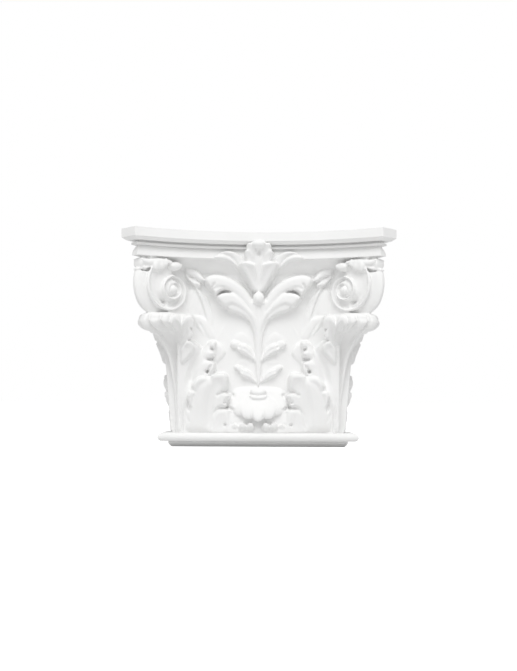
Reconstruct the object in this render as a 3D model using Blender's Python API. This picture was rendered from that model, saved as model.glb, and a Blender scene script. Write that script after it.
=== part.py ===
"""Corinthian pilaster capital, cast in one piece.

A moulded neck carries a leaf-carved bell. Corner leaves rise to a volute under each horn of a
hollow-sided abacus, and curled leaves on a fluted stalk climb to a fleuron at its middle.
The capital stands on its neck with its flat back against the wall.
"""
import math

import bmesh
import bpy
import numpy as np

# Driving sizes in metres
HEIGHT = 0.222              # underside of the neck to the top of the abacus
WIDTH = 0.280               # across the side corners of the horns
DEPTH = 0.110               # wall to the front corners of the horns
NECK_WIDTH = 0.180          # pilaster shaft that the capital caps
NECK_DEPTH = 0.060          # how far that shaft stands out from the wall

# Abacus, from the top down
SLAB_HEIGHT = 0.0108        # upright face
BEVEL_HEIGHT = 0.0026       # sloping underside of the slab
BEVEL_INSET = 0.0028
GROOVE_HEIGHT = 0.0016
GROOVE_INSET = 0.0105
FILLET_HEIGHT = 0.0024
FILLET_INSET = 0.0080
COVE_HEIGHT = 0.0096        # hollow that runs down into the fascia
COVE_INSET = 0.0112         # at its top
FASCIA_INSET = 0.0085
HORN_CHAMFER = 0.0155       # cut across each horn, along either face
ARC_HOLLOW = 0.0340         # how far the front face curves in between the horns
SOFFIT_DROP = 0.0210        # hollow flare of the bell under the abacus

# Neck mouldings, from the bottom up
CAVETTO_HEIGHT = 0.0035
CAVETTO_INSET = 0.0035
LISTEL_HEIGHT = 0.0025
LISTEL_PROJECTION = 0.0030  # past the shaft's face
BEAD_HEIGHT = 0.0085
BEAD_PROJECTION = 0.0135

# Bell behind the carving
BELL_INSET = 0.0030         # behind the shaft's face
BELL_CORNER = 0.0120        # flat across the bell's corners
SINK = 0.0040               # how deep the carving is rooted in the bell

# Scroll
# Radius of the spiral in parts at each quarter turn, from straight above the eye outward and down
SCROLL_RADII = (40, 30, 21, 17.2, 15.6, 14.6, 10, 6.6, 5.6, 5.2, 4.4, 3.6)
SCROLL_EYE = 3.4            # radius of the knob at its middle
SCROLL_RIM = 9.5             # how far the side of the scroll bulges past its face

# Carving grain
VOXEL = 0.0012              # cell that fuses the petals into one skin
TRIANGLES = 9100            # of the fused skin
STATIONS = 20               # along a petal
ROUND = 20                  # around a petal
ARC_STEPS = 18              # along the abacus front
COVE_STEPS = 5
SOFFIT_STEPS = 5
BEAD_STEPS = 6
RIDGE = 0.0005              # least width left where an inset outline runs to a point

# Classical parts: the carving is 180 parts high and the neck is 180 parts wide
PARTS = 180
NECK_MOULD = CAVETTO_HEIGHT + LISTEL_HEIGHT + BEAD_HEIGHT
ABACUS_HEIGHT = SLAB_HEIGHT + BEVEL_HEIGHT + GROOVE_HEIGHT + FILLET_HEIGHT + COVE_HEIGHT
PART = NECK_WIDTH / PARTS
PART_UP = (HEIGHT - ABACUS_HEIGHT - NECK_MOULD) / PARTS
HALF_NECK = NECK_WIDTH / 2
DIAGONAL = HALF_NECK - NECK_DEPTH            # |x| less distance out, along each corner's diagonal
HORN_OVERHANG = (WIDTH / 2 - HALF_NECK + DEPTH - NECK_DEPTH) / math.sqrt(2)
PART_OUT = HORN_OVERHANG / 71                # parts along a corner's diagonal
BELL_FACE = NECK_DEPTH - BELL_INSET
BELL_HALF = HALF_NECK - BELL_INSET
OVERRUN = 0.004                              # solids run past the wall before the flat cut

FRONT = np.array([0.0, 1.0, 0.0])
OUTWARD = np.array([-1.0, 1.0, 0.0]) / math.sqrt(2)   # left corner's diagonal
ALONG = np.array([1.0, 1.0, 0.0]) / math.sqrt(2)      # across that diagonal, toward the front face
UP = np.array([0.0, 0.0, 1.0])


# Places. Points are (sideways, out from the wall, up) until the mesh is made

def level(z):
    """Height of a carving part; above the carving, parts follow the abacus."""
    above = max(z - PARTS, 0)
    return NECK_MOULD + min(z, PARTS) * PART_UP + above * ABACUS_HEIGHT / 27


def face(x, z, lift):
    """Point on the front face, lift parts in front of the bell."""
    return np.array([x * PART, BELL_FACE + lift * PART, level(z)])


def corner(a, b, z):
    """Point a parts out along the left corner's diagonal and b parts across it."""
    foot = np.array([-HALF_NECK, NECK_DEPTH, 0.0])
    return foot + a * PART_OUT * OUTWARD + b * PART * ALONG + level(z) * UP


# Petals

def smooth_path(knots, places):
    """Catmull-Rom curve through the knots, read at places from 0 to 1."""
    knots = np.asarray(knots, dtype=float)
    ends = np.vstack([2 * knots[0] - knots[1], knots, 2 * knots[-1] - knots[-2]])
    spans = len(knots) - 1
    along = np.clip(places * spans, 0, spans - 1e-9)
    first = along.astype(int)
    u = (along - first)[:, None]
    p0, p1, p2, p3 = (ends[first + k] for k in range(4))
    return 0.5 * (2 * p1 + (p2 - p0) * u + (2 * p0 - 5 * p1 + 4 * p2 - p3) * u ** 2
                  + (3 * p1 - p0 - 3 * p2 + p3) * u ** 3)


def unit(vectors):
    return vectors / np.linalg.norm(vectors, axis=-1, keepdims=True)


def swell(t, root, tip):
    """Width along a petal, from 0 through 1 and back to 0; lower powers make rounder ends."""
    peak = root / (root + tip)
    return (t / peak) ** root * ((1 - t) / (1 - peak)) ** tip


def petal(knots, width, crown, out=FRONT, depth=None, root=0.6, tip=0.5):
    """One lobe of carving: a closed pad along a curved spine.

    The knots lie on its ridge. Width is half its breadth and crown its rounded height. It faces out,
    with straight sides down to depth, or into the bell where no depth is given.
    """
    t = (1 - np.cos(np.linspace(0.06, math.pi - 0.06, STATIONS))) / 2
    path = smooth_path(knots, t)
    side = unit(np.cross(unit(np.gradient(path, axis=0)), out))
    if depth is None:
        depths = np.maximum(path[:, 1] - BELL_FACE, 0) + SINK
    else:
        depths = np.full(STATIONS, depth * PART)
    fullness = swell(t, root, tip)
    half = (width * PART * fullness)[:, None, None]
    rise = (crown * PART * np.sqrt(fullness))[:, None]
    turn = np.linspace(0, 2 * math.pi, ROUND, endpoint=False)
    crest = np.maximum(np.sin(turn), 0)
    trough = np.maximum(-np.sin(turn), 0) ** 0.4
    height = rise * crest - depths[:, None] * trough
    base = path - out * rise
    return ringed(base[:, None, :] + side[:, None, :] * half * np.cos(turn)[None, :, None]
                  + out * height[:, :, None])


def fan(foot, heading, across, turns, reach, base, profile, notches, notch_depth, shape, notch_start=0.35):
    """Flaring leaf top: a solid turned about an upright axis, with its reach changing along the arc.

    Turns are plan angles from the heading. For each one reach and base are the outer and inner radius,
    and profile gives knots of (share of the way from base to reach, height). Notches are the turns
    between lobes, cut from notch_start to the rim. Shape gives a column's last changes.
    """
    t = np.linspace(0, 1, 3 * STATIONS)
    edges = np.asarray(notches, dtype=float)
    columns = []
    for turn in turns:
        share, z = smooth_path(profile(turn), t).T
        near = np.clip(np.searchsorted(edges, turn) - 1, 0, len(edges) - 2)
        middle, half = (edges[near] + edges[near + 1]) / 2, (edges[near + 1] - edges[near]) / 2
        groove = min(abs(turn - middle) / half, 1.0) ** 3.5
        cut = notch_depth * groove * np.clip((share - notch_start) / (1 - notch_start), 0, 1)
        radius = base(turn) + share * (reach(turn) - base(turn)) - cut
        radius, z = shape(turn, share, z, radius, groove)
        way = math.cos(math.radians(turn)) * heading + math.sin(math.radians(turn)) * across
        columns.append([foot + r * PART * way + level(h) * UP for r, h in zip(radius, z)])
    columns = np.array(columns)
    core = np.array([foot + h * UP for h in np.linspace(columns[0, 0, 2], columns[0, -1, 2], len(t))])
    rings = [np.vstack([columns[:, i], core[i:i + 1]]) for i in range(len(t))]
    return ringed(np.array(rings))


def ringed(rings):
    """Closed mesh through rings of points, with a flat face over each end."""
    count, around = rings.shape[:2]
    faces = [tuple(range(around))[::-1], tuple(range((count - 1) * around, count * around))]
    for i in range(count - 1):
        for j in range(around):
            k = (j + 1) % around
            faces.append((i * around + j, i * around + k, (i + 1) * around + k, (i + 1) * around + j))
    return rings.reshape(-1, 3), faces


def mirrored(solid):
    """The same solid across the capital's middle."""
    points, faces = solid
    return points * np.array([-1.0, 1.0, 1.0]), [f[::-1] for f in faces]


def around_corner(solid):
    """The same solid across the left corner's diagonal: from the front face to the side face."""
    points, faces = solid
    turned_points = np.column_stack([-points[:, 1] - DIAGONAL, -points[:, 0] - DIAGONAL, points[:, 2]])
    return turned_points, [f[::-1] for f in faces]


def ball(centre, radius, squash=1.0):
    """Rounded knob, squashed upward or down."""
    t = np.linspace(0.04, math.pi - 0.04, STATIONS // 2)
    turn = np.linspace(0, 2 * math.pi, ROUND, endpoint=False)
    flat = np.sin(t)[:, None] * radius * PART
    rings = np.stack([flat * np.cos(turn), flat * np.sin(turn),
                      np.cos(t)[:, None] * radius * PART * squash + 0 * turn], axis=-1)
    return ringed(rings + centre)


# Middle of the front face

def stalk():
    """Three-stranded stalk from the seed down to the cup."""
    strands = []
    for x, lift in ((-3.4, 6.5), (0, 8), (3.4, 6.5)):
        knots = [face(x, 134, lift), face(x * 0.8, 116, lift), face(x * 0.3, 90, lift - 1), face(0, 48, 5)]
        strands.append(petal(knots, 2.4, 2.4, root=0.3, tip=0.4))
    return strands


def seed():
    """Domed seed under the fleuron, on a flat collar."""
    collar = [face(-6, 134.5, 9.5), face(6, 134.5, 9.5)]
    stem = [face(0, 145, 6), face(0, 133, 6)]
    return [ball(face(0, 139.5, 8), 6.0, 1.1), petal(collar, 1.4, 1.4, root=0.3, tip=0.3),
            petal(stem, 4, 2, root=0.3, tip=0.3)]


def cup():
    """Small round cup that the stalk grows from, over a rolled rim."""
    bowl = [face(-8.5, 43, 8), face(0, 41, 10.5), face(8.5, 43, 8)]
    rim = [face(-9, 38.8, 7.5), face(-4.5, 36.8, 10), face(4.5, 36.8, 10), face(9, 38.8, 7.5)]
    return [petal(bowl, 3.6, 3, root=0.35, tip=0.35), petal(rim, 2, 2.2, root=0.3, tip=0.3)]


def curling_leaf():
    """Leaf at the foot of the face that fans out and hangs over, with small upright lobes beneath."""
    section = [(0.1, 47), (0.4, 42), (0.62, 36), (0.8, 29.5), (0.94, 23), (1.0, 18), (0.98, 14),
               (0.88, 13.5), (0.55, 20), (0.1, 24)]

    def reach(turn):
        return 25 + 8 * (turn / 85) ** 2

    def profile(turn):
        drop = 1 - 0.42 * (turn / 85) ** 2
        return [(share, 44 - (44 - z) * drop) for share, z in section]

    def tips(turn, share, z, radius, groove):
        keel = np.clip(1 - abs(turn) / 15, 0, 1)
        hanging = np.clip((share - 0.8) / 0.2, 0, 1)
        return radius + 1.5 * keel * hanging, z - (3.5 * keel - 3.5 * groove ** 0.7) * hanging

    foot = np.array([0.0, BELL_FACE - 6 * PART, 0.0])
    sideways = np.array([1.0, 0.0, 0.0])
    parts = [fan(foot, FRONT, sideways, np.linspace(-88, 88, 6 * ROUND), reach, lambda turn: 1.0, profile,
                 [-110, -70, -44, -15, 15, 44, 70, 110], 1.4, tips, 0.78)]
    parts.append(petal([face(0, -2, 2), face(0, 6, 3.5)], 2.6, 2, root=0.4, tip=0.5))
    for side in (-1, 1):
        ear = [face(side * 29, 22, 4), face(side * 25, 18.5, 8), face(side * 20.5, 18, 8)]
        parts.append(petal(ear, 3.6, 3.6))
        for x, top, lift in ((8.5, 12, 8), (16.5, 13, 8.5), (24.5, 10, 7)):
            lobe = [face(side * x * 0.94, -2, 3), face(side * x, 5, lift - 1.5), face(side * x, top, lift)]
            parts.append(petal(lobe, 4.2, 3, root=0.4, tip=0.45))
    return parts


def crown(x, z, share):
    """Point between the bell and the abacus face at its middle, by share of the way out."""
    start = face(x, z, 0)
    start[1] += share * (DEPTH - ARC_HOLLOW - BELL_FACE)
    return start


def fleuron():
    """Flattened ball at the top of the flower on the middle of the abacus."""
    return [ball(crown(0, 194.5, 0.95), 8.2, 0.6)]


# Left half of the front face

def calyx():
    """Filling between the stem on the face and the volute."""
    web = [face(-66, 108, 0), face(-70, 128, 2), corner(-7, 4, 142), corner(1, 5, 158), corner(8, 6, 168)]
    return [petal(web, 9, 3, root=0.5, tip=0.4)]


def corner_core():
    """Front half of the solid that ties bell, corner leaf, scroll and horn together behind their faces."""
    rings = [[corner(-26, -2, z), corner(-26, half, z), corner(reach, half, z), corner(reach, -2, z)]
             for z, half, reach in ((112, 12, 8), (124, 10, 14), (146, 8, 18), (164, 8, 26), (172, 7, 36),
                                    (186, 7, 38))]
    return [ringed(np.array(rings))]


def leaf_rim(turn):
    """Reach of the corner leaf's curled rim from its axis, by plan angle off the diagonal."""
    return np.interp(turn, (-6, 0, 14, 26, 38, 45, 53, 64, 90), (61, 61, 57, 50.5, 44.5, 42.5, 41, 38, 34))


def leaf_foot(turn):
    """Radius of the corner leaf at its foot, from a rounded corner into the front face."""
    return np.interp(turn, (-6, 0, 20, 45, 62, 90), (12, 12, 14, 16.5, 15.5, 13))


def leaf_profile(turn):
    """Section of the corner leaf: it curls over at the diagonal and flares at its edge."""
    curled = np.array([(0, -2), (0.01, 23), (0.06, 44), (0.14, 64), (0.24, 80), (0.42, 92), (0.6, 101),
                       (0.78, 103.5), (0.93, 106), (1.0, 112), (0.96, 119), (0.85, 122), (0.5, 123.5),
                       (0, 123.5)])
    flared = np.array([(0, -2), (0.07, 23), (0.17, 46), (0.33, 64), (0.52, 80), (0.68, 92), (0.8, 101),
                       (0.88, 107), (0.96, 112), (1.03, 116), (1.02, 119), (0.85, 120.5), (0.5, 121.5),
                       (0, 122)])
    blend = np.clip((abs(turn) - 18) / 16, 0, 1)
    return curled * (1 - blend) + flared * blend


def leaf_edge(z):
    """Plan angle of the corner leaf's lobed edge at each height."""
    return np.interp(z, (0, 60, 74, 84, 90, 95.5, 97.5, 101, 105, 106.8, 109, 112, 130),
                     (36, 35, 36, 39.5, 47, 51, 55.5, 58.5, 60, 51, 58, 59.5, 59.5))


def shaped_leaf(turn, share, z, radius, groove):
    """Bowl between midrib and edge, the rib itself, lobes along the rim and the lobed edge."""
    bowl = 8.5 * math.sin(math.pi * min(max(turn / 52, 0), 1)) ** 0.8
    under = np.clip((z - 30) / 50, 0, 1) * np.clip((1.0 - share) / 0.2, 0, 1) * (z < 117)
    rib = 2.2 * math.exp(-(turn / 5) ** 2) * np.clip((100 - z) / 20, 0, 1)
    upright = np.clip((turn - 24) / 8, 0, 1)
    dip = 8.5 * groove ** 0.6 * upright * np.clip((share - 0.6) / 0.4, 0, 1)
    overhang = np.clip((share - 0.7) / 0.2, 0, 1) * np.clip((115 - z) / 6, 0, 1)
    lip = 6 * groove ** 0.5 * (1 - upright) * overhang
    past = np.clip((turn - leaf_edge(z)) / 4, 0, 1)
    past = past * past * (3 - 2 * past)
    inner = leaf_foot(turn) - 3 * past
    return (radius - bowl * under + rib) * (1 - past) + inner * past, z - dip + lip


def corner_leaf():
    """Front half of the tall leaf that wraps the corner and curls over under the volute."""
    foot = corner(-20, 0, 0)
    foot[2] = 0.0
    turns = np.concatenate([np.linspace(-5, 62, 5 * ROUND), np.linspace(63, 85, ROUND // 2)])
    parts = [fan(foot, OUTWARD, ALONG, turns, leaf_rim, leaf_foot, leaf_profile,
                 [-6, 6, 18.5, 27.5, 41, 62, 90], 6.5, shaped_leaf)]
    return parts


def scroll_edge(quarters):
    """Radius of the spiral's outer edge, by quarter turns from straight above the eye."""
    radii = np.array(SCROLL_RADII, dtype=float)[:, None]
    return smooth_path(radii, quarters / (len(radii) - 1))[:, 0]


def volute():
    """Front half of the corner scroll: a filleted channel wound round a raised eye, over a broad rim."""
    quarters = np.linspace(0, 4, 7 * ROUND, endpoint=False)
    edge = scroll_edge(quarters)
    bulge = SCROLL_RIM * soft_step((2.1 - quarters) / 0.9) + 1.2
    side = [(-2, 1), (0, 1), (1.2, 0.97), (2.8, 0.84), (4.4, 0.55), (5.3, 0.2), (6, -0.12), (6.8, -0.14),
            (7.5, 0.03), (9.4, 0.06)]
    rings = [scroll_ring(edge + share * bulge, quarters, b, 164) for b, share in side]
    for share in np.linspace(1.0, 0.015, 4 * STATIONS):
        height = scroll_height(edge * share, quarters) - (share > 0.99)
        rings.append(scroll_ring(edge * share, quarters, height, 173, True))
    return [ringed(np.array(rings))]


def scroll_height(radius, quarters):
    """Height of the scroll's face over its plane: fillets, channel, the hollow under the eye and the eye."""
    height = np.zeros(len(quarters))
    last = len(SCROLL_RADII) - 1.001
    wind = [scroll_edge(np.minimum(quarters + 4 * k, last)) for k in range(3)]
    below = np.maximum(-np.cos((quarters + 0.08) * math.pi / 2), 0)
    for k, (fillet, base, deepest) in enumerate(((2.6, 0.0, 8.0), (1.8, 2.4, 2.0))):
        away = wind[k] - radius
        share = np.clip(away / (wind[k] - wind[k + 1]), 0, 1)
        inside = soft_step(away / 0.9 + 0.5)
        line = 1.4 * (1 - soft_step((away - fillet + 0.7) / 1.4))
        quirk = 1.1 * np.exp(-((away - fillet - 1.0) / 0.9) ** 2)
        channel = 0.8 * np.sin(math.pi * share)
        crescent = deepest * below ** 3 * np.exp(-((share - 0.78) / 0.17) ** 2)
        height = height * (1 - inside) + inside * (base + line - quirk - channel - crescent)
    knob = 2.6 * np.sqrt(np.clip(1 - (radius / SCROLL_EYE) ** 2, 0, 1))
    groove = 2.0 * np.exp(-((radius - SCROLL_EYE - 0.8) / 0.7) ** 2) * (0.3 + 0.7 * below)
    return height + knob - groove


def scroll_ring(radius, quarters, middle, top, leaning=False):
    """Ring of points about the scroll's eye, cut off at the top; its face leans back outward."""
    eye_a, eye_z = 10.5, 147.0
    a = eye_a + radius * np.sin(quarters * math.pi / 2)
    z = np.minimum(eye_z + radius * np.cos(quarters * math.pi / 2), top)
    across = middle + 11.3 - 0.09 * (a - eye_a) if leaning else middle + 0 * a
    return [corner(a[j], across[j], z[j]) for j in range(len(a))]


def horn_leaf():
    """Leaf folded over the volute below the horn: a bright fold, a hollow, a lower rim and hanging lobes."""
    fold = [corner(14, 16, 175), corner(28, 14, 174.6), corner(39.5, 10.5, 173.6), corner(47.5, 6, 176)]
    heart = [corner(10, 6, 171), corner(30, 6, 172), corner(41, 4, 172), corner(48, 1.5, 172.5)]
    rim = [corner(33, 10.5, 171), corner(40, 8, 168.3), corner(46, 4.8, 166.8), corner(51.3, 1.2, 165.3)]
    parts = [petal(fold, 3.2, 3.0, out=ALONG, depth=12, root=0.3, tip=0.4),
             petal(heart, 7.0, 2, out=ALONG, depth=5, root=0.3, tip=0.3),
             petal(rim, 1.7, 2.2, out=ALONG, depth=3, root=0.3, tip=0.4)]
    for a, b, top, tip, width in ((31, 14, 173, 165, 4.6), (25, 15, 173, 166.5, 3.6), (20, 16, 175, 172, 3)):
        lobe = [corner(a + 1, b - 2, top + 3.5), corner(a + 0.7, b - 0.5, top + 1),
                corner(a + 0.3, b, top - 2.5), corner(a, b - 1, tip)]
        parts.append(petal(lobe, width, 2.2, out=ALONG, depth=14, root=0.8, tip=0.35))
    knob = [corner(15.5, 17.5, 170.5), corner(9.5, 19, 171), corner(3, 19, 172)]
    parts.append(petal(knob, 4.6, 4.6, out=ALONG, depth=13, root=0.5, tip=0.5))
    return parts


# Relief of the front face: heights over a grid of parts, worked leaf by leaf from back to front.
# Each leaf leans from low at its root to high at its tip, toward an angle off the upright.
# Cuts are (line, width, depth)

FACE_LEAVES = [
    # web beside the volute
    dict(outline=[(-76, 148), (-68, 152), (-60, 138), (-51, 114), (-71, 122), (-81, 124)],
         toward=-50, low=-0.5, high=4.5, edge=8, rounding=3.5),
    # upper stem lobe
    dict(outline=[(-79, 171), (-75, 173), (-63, 167), (-57, 158), (-61, 157), (-76, 165)],
         toward=100, low=7, high=10.5, edge=3, rounding=2.5),
    # lower stem lobe
    dict(outline=[(-81, 168), (-72, 162), (-67, 160), (-60, 154), (-62, 151), (-75, 158)],
         toward=100, low=5, high=8.5, edge=3, rounding=2.5),
    # stem
    dict(outline=[(-67, 153), (-62, 154), (-60, 147), (-55, 142), (-48, 126), (-46, 100), (-50, 94),
                  (-59, 132)],
         toward=0, low=0.5, high=4.5, edge=4, rounding=2.5),
    # hook of the upper leaf
    dict(outline=[(1, 90), (-7, 118), (-19, 138), (-28, 146), (-40, 146), (-44, 141), (-55, 153),
                  (-56, 158), (-52, 162), (-45, 164), (-34, 162), (-13, 149), (-6, 138), (0, 135)],
         cuts=[([(-55, 155), (-52, 149), (-44, 140)], 1.6, 6)],
         toward=-52, low=5, high=17, edge=5, rounding=3.5),
    # roll under the upper leaf
    dict(outline=[(-1, 88), (-8, 113), (-14, 120), (-34, 130), (-31, 134), (-24, 134), (-15, 129),
                  (-9, 120), (-1, 96)],
         toward=-50, low=4.5, high=10, edge=2.5, rounding=1.8),
    # lower lobe of the upper leaf
    dict(outline=[(0, 90), (-7, 114), (-18, 128), (-28, 132), (-34, 130), (-39, 133), (-43, 139),
                  (-41, 143), (-27, 145), (-17, 138), (-1, 119)],
         cuts=[([(-44, 141), (-40, 145), (-28, 145)], 1.7, 6)],
         toward=-60, low=6, high=15, edge=4, rounding=3),
    # upper sprig
    dict(outline=[(-31, 93), (-28, 97), (-22, 98), (-15, 95), (-9, 89), (1, 72), (-29, 90)],
         cuts=[([(-31, 93), (-23, 86), (-9, 78), (-2, 71)], 1.6, 4)],
         toward=200, low=2, high=4.5, edge=4.5, rounding=2.5),
    # lower sprig
    dict(outline=[(-26, 69), (-23, 71), (-17, 72), (-11, 68), (1, 52), (-21, 62)],
         cuts=[([(-26, 68), (-20, 62), (-8, 55), (-2, 51)], 1.6, 4)],
         toward=200, low=2, high=4.5, edge=4.5, rounding=2.5),
    # arm of the fleuron
    dict(outline=[(-47, 181), (-37, 187), (-30, 188), (-24, 186), (-12, 177), (-9, 169), (-9, 154),
                  (-13, 157), (-19, 168), (-33, 178)],
         toward=-25, low=9.5, high=14.5, edge=2.5, rounding=1.2, hollow=0.8),
    # foot of the fleuron
    dict(outline=[(2, 146), (-6, 147), (-10, 153), (-19, 174), (-12, 179), (2, 181)],
         toward=0, low=12, high=18, edge=4, rounding=3),
    # side petal of the fleuron
    dict(outline=[(-12, 177), (-15, 187), (-12, 189), (-8, 188), (-4, 181), (-5, 175)],
         toward=-30, low=15, high=23, edge=2.5, rounding=2, hollow=1),
    # upper petal of the fleuron
    dict(outline=[(-9, 177), (-13, 193), (-10, 196), (-7, 195), (-3, 188), (-1, 177)],
         toward=-15, low=15, high=24, edge=2.5, rounding=2, hollow=1),
    # middle petal of the fleuron
    dict(outline=[(-5, 148), (-6, 169), (-5, 181), (-3, 191), (3, 192), (3, 148)],
         cuts=[([(3, 190), (2, 182)], 5, 3)],
         toward=0, low=15, high=21, edge=4, rounding=2),
    # front petal of the fleuron
    dict(outline=[(0, 148), (-6, 149), (-19, 172), (-19, 175), (-10, 176), (-4, 174), (0, 158)],
         toward=-20, low=14, high=24, edge=3, rounding=2.2, hollow=1.8),
    # foot of the corner leaf
    dict(outline=[(-93, 0), (-91, 33), (-94, 64), (-90, 90), (-75, 97), (-53, 83), (-54, 69), (-60, 49),
                  (-77, 18), (-76, 0)],
         toward=0, low=5, high=13, edge=9, rounding=3.5),
    # middle leaf
    dict(outline=[(-72, 41), (-68, 66), (-58, 88), (-48, 95), (-45, 93), (-48, 83), (-53, 79), (-56, 54),
                  (-62, 44)],
         cuts=[([(-49, 94), (-57, 86), (-69, 63), (-72, 47)], 6, 5)],
         toward=15, low=6, high=14.5, edge=5, rounding=3.5),
    # its first lobe
    dict(outline=[(-57, 84), (-52, 85), (-47, 84), (-47, 80), (-56, 76), (-61, 75)],
         toward=75, low=8, high=15, edge=3, rounding=2.6),
    # its second lobe
    dict(outline=[(-60, 72), (-54, 74), (-48, 73), (-45, 68), (-47, 63), (-60, 52), (-66, 44), (-66, 60)],
         cuts=[([(-53, 62), (-48, 70)], 1.5, 3.5)],
         toward=60, low=6, high=14.5, edge=4, rounding=3),
    # edge leaflet
    dict(outline=[(-74, 94), (-70, 94), (-66, 89), (-67, 83), (-79, 71), (-81, 79), (-80, 86)],
         cuts=[([(-73, 96), (-71, 96)], 1.5, 4)],
         toward=10, low=14, high=23, edge=3, rounding=2, hollow=1.5),
    # lower leaf
    dict(outline=[(-80, -1), (-79, 18), (-71, 42), (-63, 54), (-50, 58), (-38, 58), (-34, 46), (-31, -1)],
         toward=0, low=4.5, high=13, edge=11, rounding=5),
    # its first left lobe
    dict(outline=[(-69, 48), (-67, 52), (-57, 58), (-52, 57), (-50, 53), (-51, 46), (-56, 39), (-65, 40)],
         toward=-35, low=8, high=15, edge=3.5, rounding=3, hollow=1.5),
    # its second left lobe
    dict(outline=[(-74, 38), (-71, 43), (-66, 43), (-61, 40), (-61, 29), (-66, 24), (-72, 28)],
         toward=-60, low=6.5, high=12.5, edge=3, rounding=2.5, hollow=1.2),
    # its first right lobe
    dict(outline=[(-48, 59), (-43, 61), (-35, 60), (-32, 55), (-33, 46), (-43, 38), (-51, 42)],
         toward=20, low=8.5, high=16.5, edge=3.5, rounding=3, hollow=1.2),
    # its second right lobe
    dict(outline=[(-48, 31), (-43, 38), (-36, 41), (-29, 38), (-33, 28), (-48, 21)],
         cuts=[([(-43, 38), (-39, 41), (-32, 45)], 1.5, 3.5)],
         toward=75, low=7.5, high=15, edge=3.5, rounding=3, hollow=0.8),
    # its third right lobe
    dict(outline=[(-46, 18), (-42, 23), (-31, 23), (-29, 13), (-29, -1), (-51, -1)],
         toward=60, low=6, high=12.5, edge=4, rounding=3, hollow=0.8),
    # wall under the curled leaf
    dict(outline=[(-31, -1), (-31, 24), (-14, 24), (4, 24), (4, 0)],
         toward=0, low=2.5, high=3, edge=3, rounding=1),
    # back of the curled leaf
    dict(outline=[(-31, 22), (-29, 42), (-24, 47), (-16, 49), (4, 50), (4, 20)],
         cuts=[([(-30, 27), (-27, 24), (-21, 21)], 1.8, 6)],
         toward=180, low=2, high=13, edge=8, rounding=3.5),
]

GRID = 0.9                  # parts between the relief's points
CLIFF = 12                  # how steeply a leaf's edge drops
GRID_X, GRID_Z = np.meshgrid(np.arange(-84, 1.5, GRID), np.arange(-3, 203, GRID))


def window(points, margin):
    """Slices of the grid around the points."""
    low, high = np.min(points, axis=0) - margin, np.max(points, axis=0) + margin
    rows = np.searchsorted(GRID_Z[:, 0], (low[1], high[1]))
    columns = np.searchsorted(GRID_X[0], (low[0], high[0]))
    return slice(*rows), slice(*columns)


def line_distance(curve, where):
    """Distance of the grid's points from an open line, and their place along it from 0 to 1."""
    x, z = GRID_X[where], GRID_Z[where]
    nearest = np.full(x.shape, np.inf)
    along = np.zeros(x.shape)
    for k, (a, b) in enumerate(zip(curve, curve[1:])):
        step = b - a
        share = np.clip(((x - a[0]) * step[0] + (z - a[1]) * step[1]) / max(step @ step, 1e-12), 0, 1)
        away = np.hypot(x - a[0] - share * step[0], z - a[1] - share * step[1])
        along = np.where(away < nearest, (k + share) / (len(curve) - 1), along)
        nearest = np.minimum(nearest, away)
    return nearest, along


def within(curve, where):
    """Which of the grid's points lie inside a closed line."""
    x, z = GRID_X[where], GRID_Z[where]
    inside = np.zeros(x.shape, dtype=bool)
    for a, b in zip(curve, curve[1:]):
        if a[1] != b[1]:
            crosses = (a[1] > z) != (b[1] > z)
            inside ^= crosses & (x < a[0] + (z - a[1]) * (b[0] - a[0]) / (b[1] - a[1]))
    return inside


def soft_step(t):
    t = np.clip(t, 0, 1)
    return t * t * (3 - 2 * t)


def raise_leaf(height, outline, toward, low, high, edge, rounding, hollow=0.0, cuts=()):
    """Raise one leaf with a rounded edge on the heights, then cut its grooves."""
    knots = np.array(list(outline) + [outline[0]], dtype=float)
    curve = smooth_path(knots, np.linspace(0, 1, 6 * len(knots)))
    where = window(curve, 4)
    depth = line_distance(curve, where)[0] * np.where(within(curve, where), 1, -1)
    lean = np.array([math.sin(math.radians(toward)), math.cos(math.radians(toward))])
    spread = knots @ lean
    share = (GRID_X[where] * lean[0] + GRID_Z[where] * lean[1] - spread.min()) / np.ptp(spread)
    top = low + (high - low) * np.clip(share, 0, 1) ** 1.3
    top -= rounding * (1 - np.clip(depth / edge, 0, 1)) ** 2 + hollow * soft_step((depth / edge - 0.5) / 2)
    height[where] = np.maximum(height[where], top + CLIFF * np.minimum(depth, 0))
    for line, width, deep in cuts:
        curve = smooth_path(line, np.linspace(0, 1, 6 * len(line)))
        where = window(curve, width)
        away, along = line_distance(curve, where)
        section = np.clip(1 - (away / width) ** 2, 0, 1) ** 1.5
        height[where] -= deep * section * np.clip(np.minimum(along, 1 - along) * 6 + 0.3, 0, 1)


def face_relief():
    """Closed slab under the carved heights of the front face's left half."""
    height = np.full(GRID_X.shape, -1.0)
    for leaf in FACE_LEAVES:
        raise_leaf(height, **leaf)
    for turn in range(2):
        padded = np.pad(height, 1, mode="edge")
        above_below = padded[:-2, 1:-1] + padded[2:, 1:-1]
        left_right = padded[1:-1, :-2] + padded[1:-1, 2:]
        height = (2 * height + above_below + left_right) / 6
    rings = []
    for x, z, lift in zip(GRID_X, GRID_Z, np.maximum(height, -1.5)):
        top = [face(a, b, c) for a, b, c in zip(x, z, lift)]
        bottom = [face(a, b, -SINK / PART) for a, b in zip(x[::-1], z[::-1])]
        rings.append(top + bottom)
    return [ringed(np.array(rings))]


# The whole piece

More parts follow.
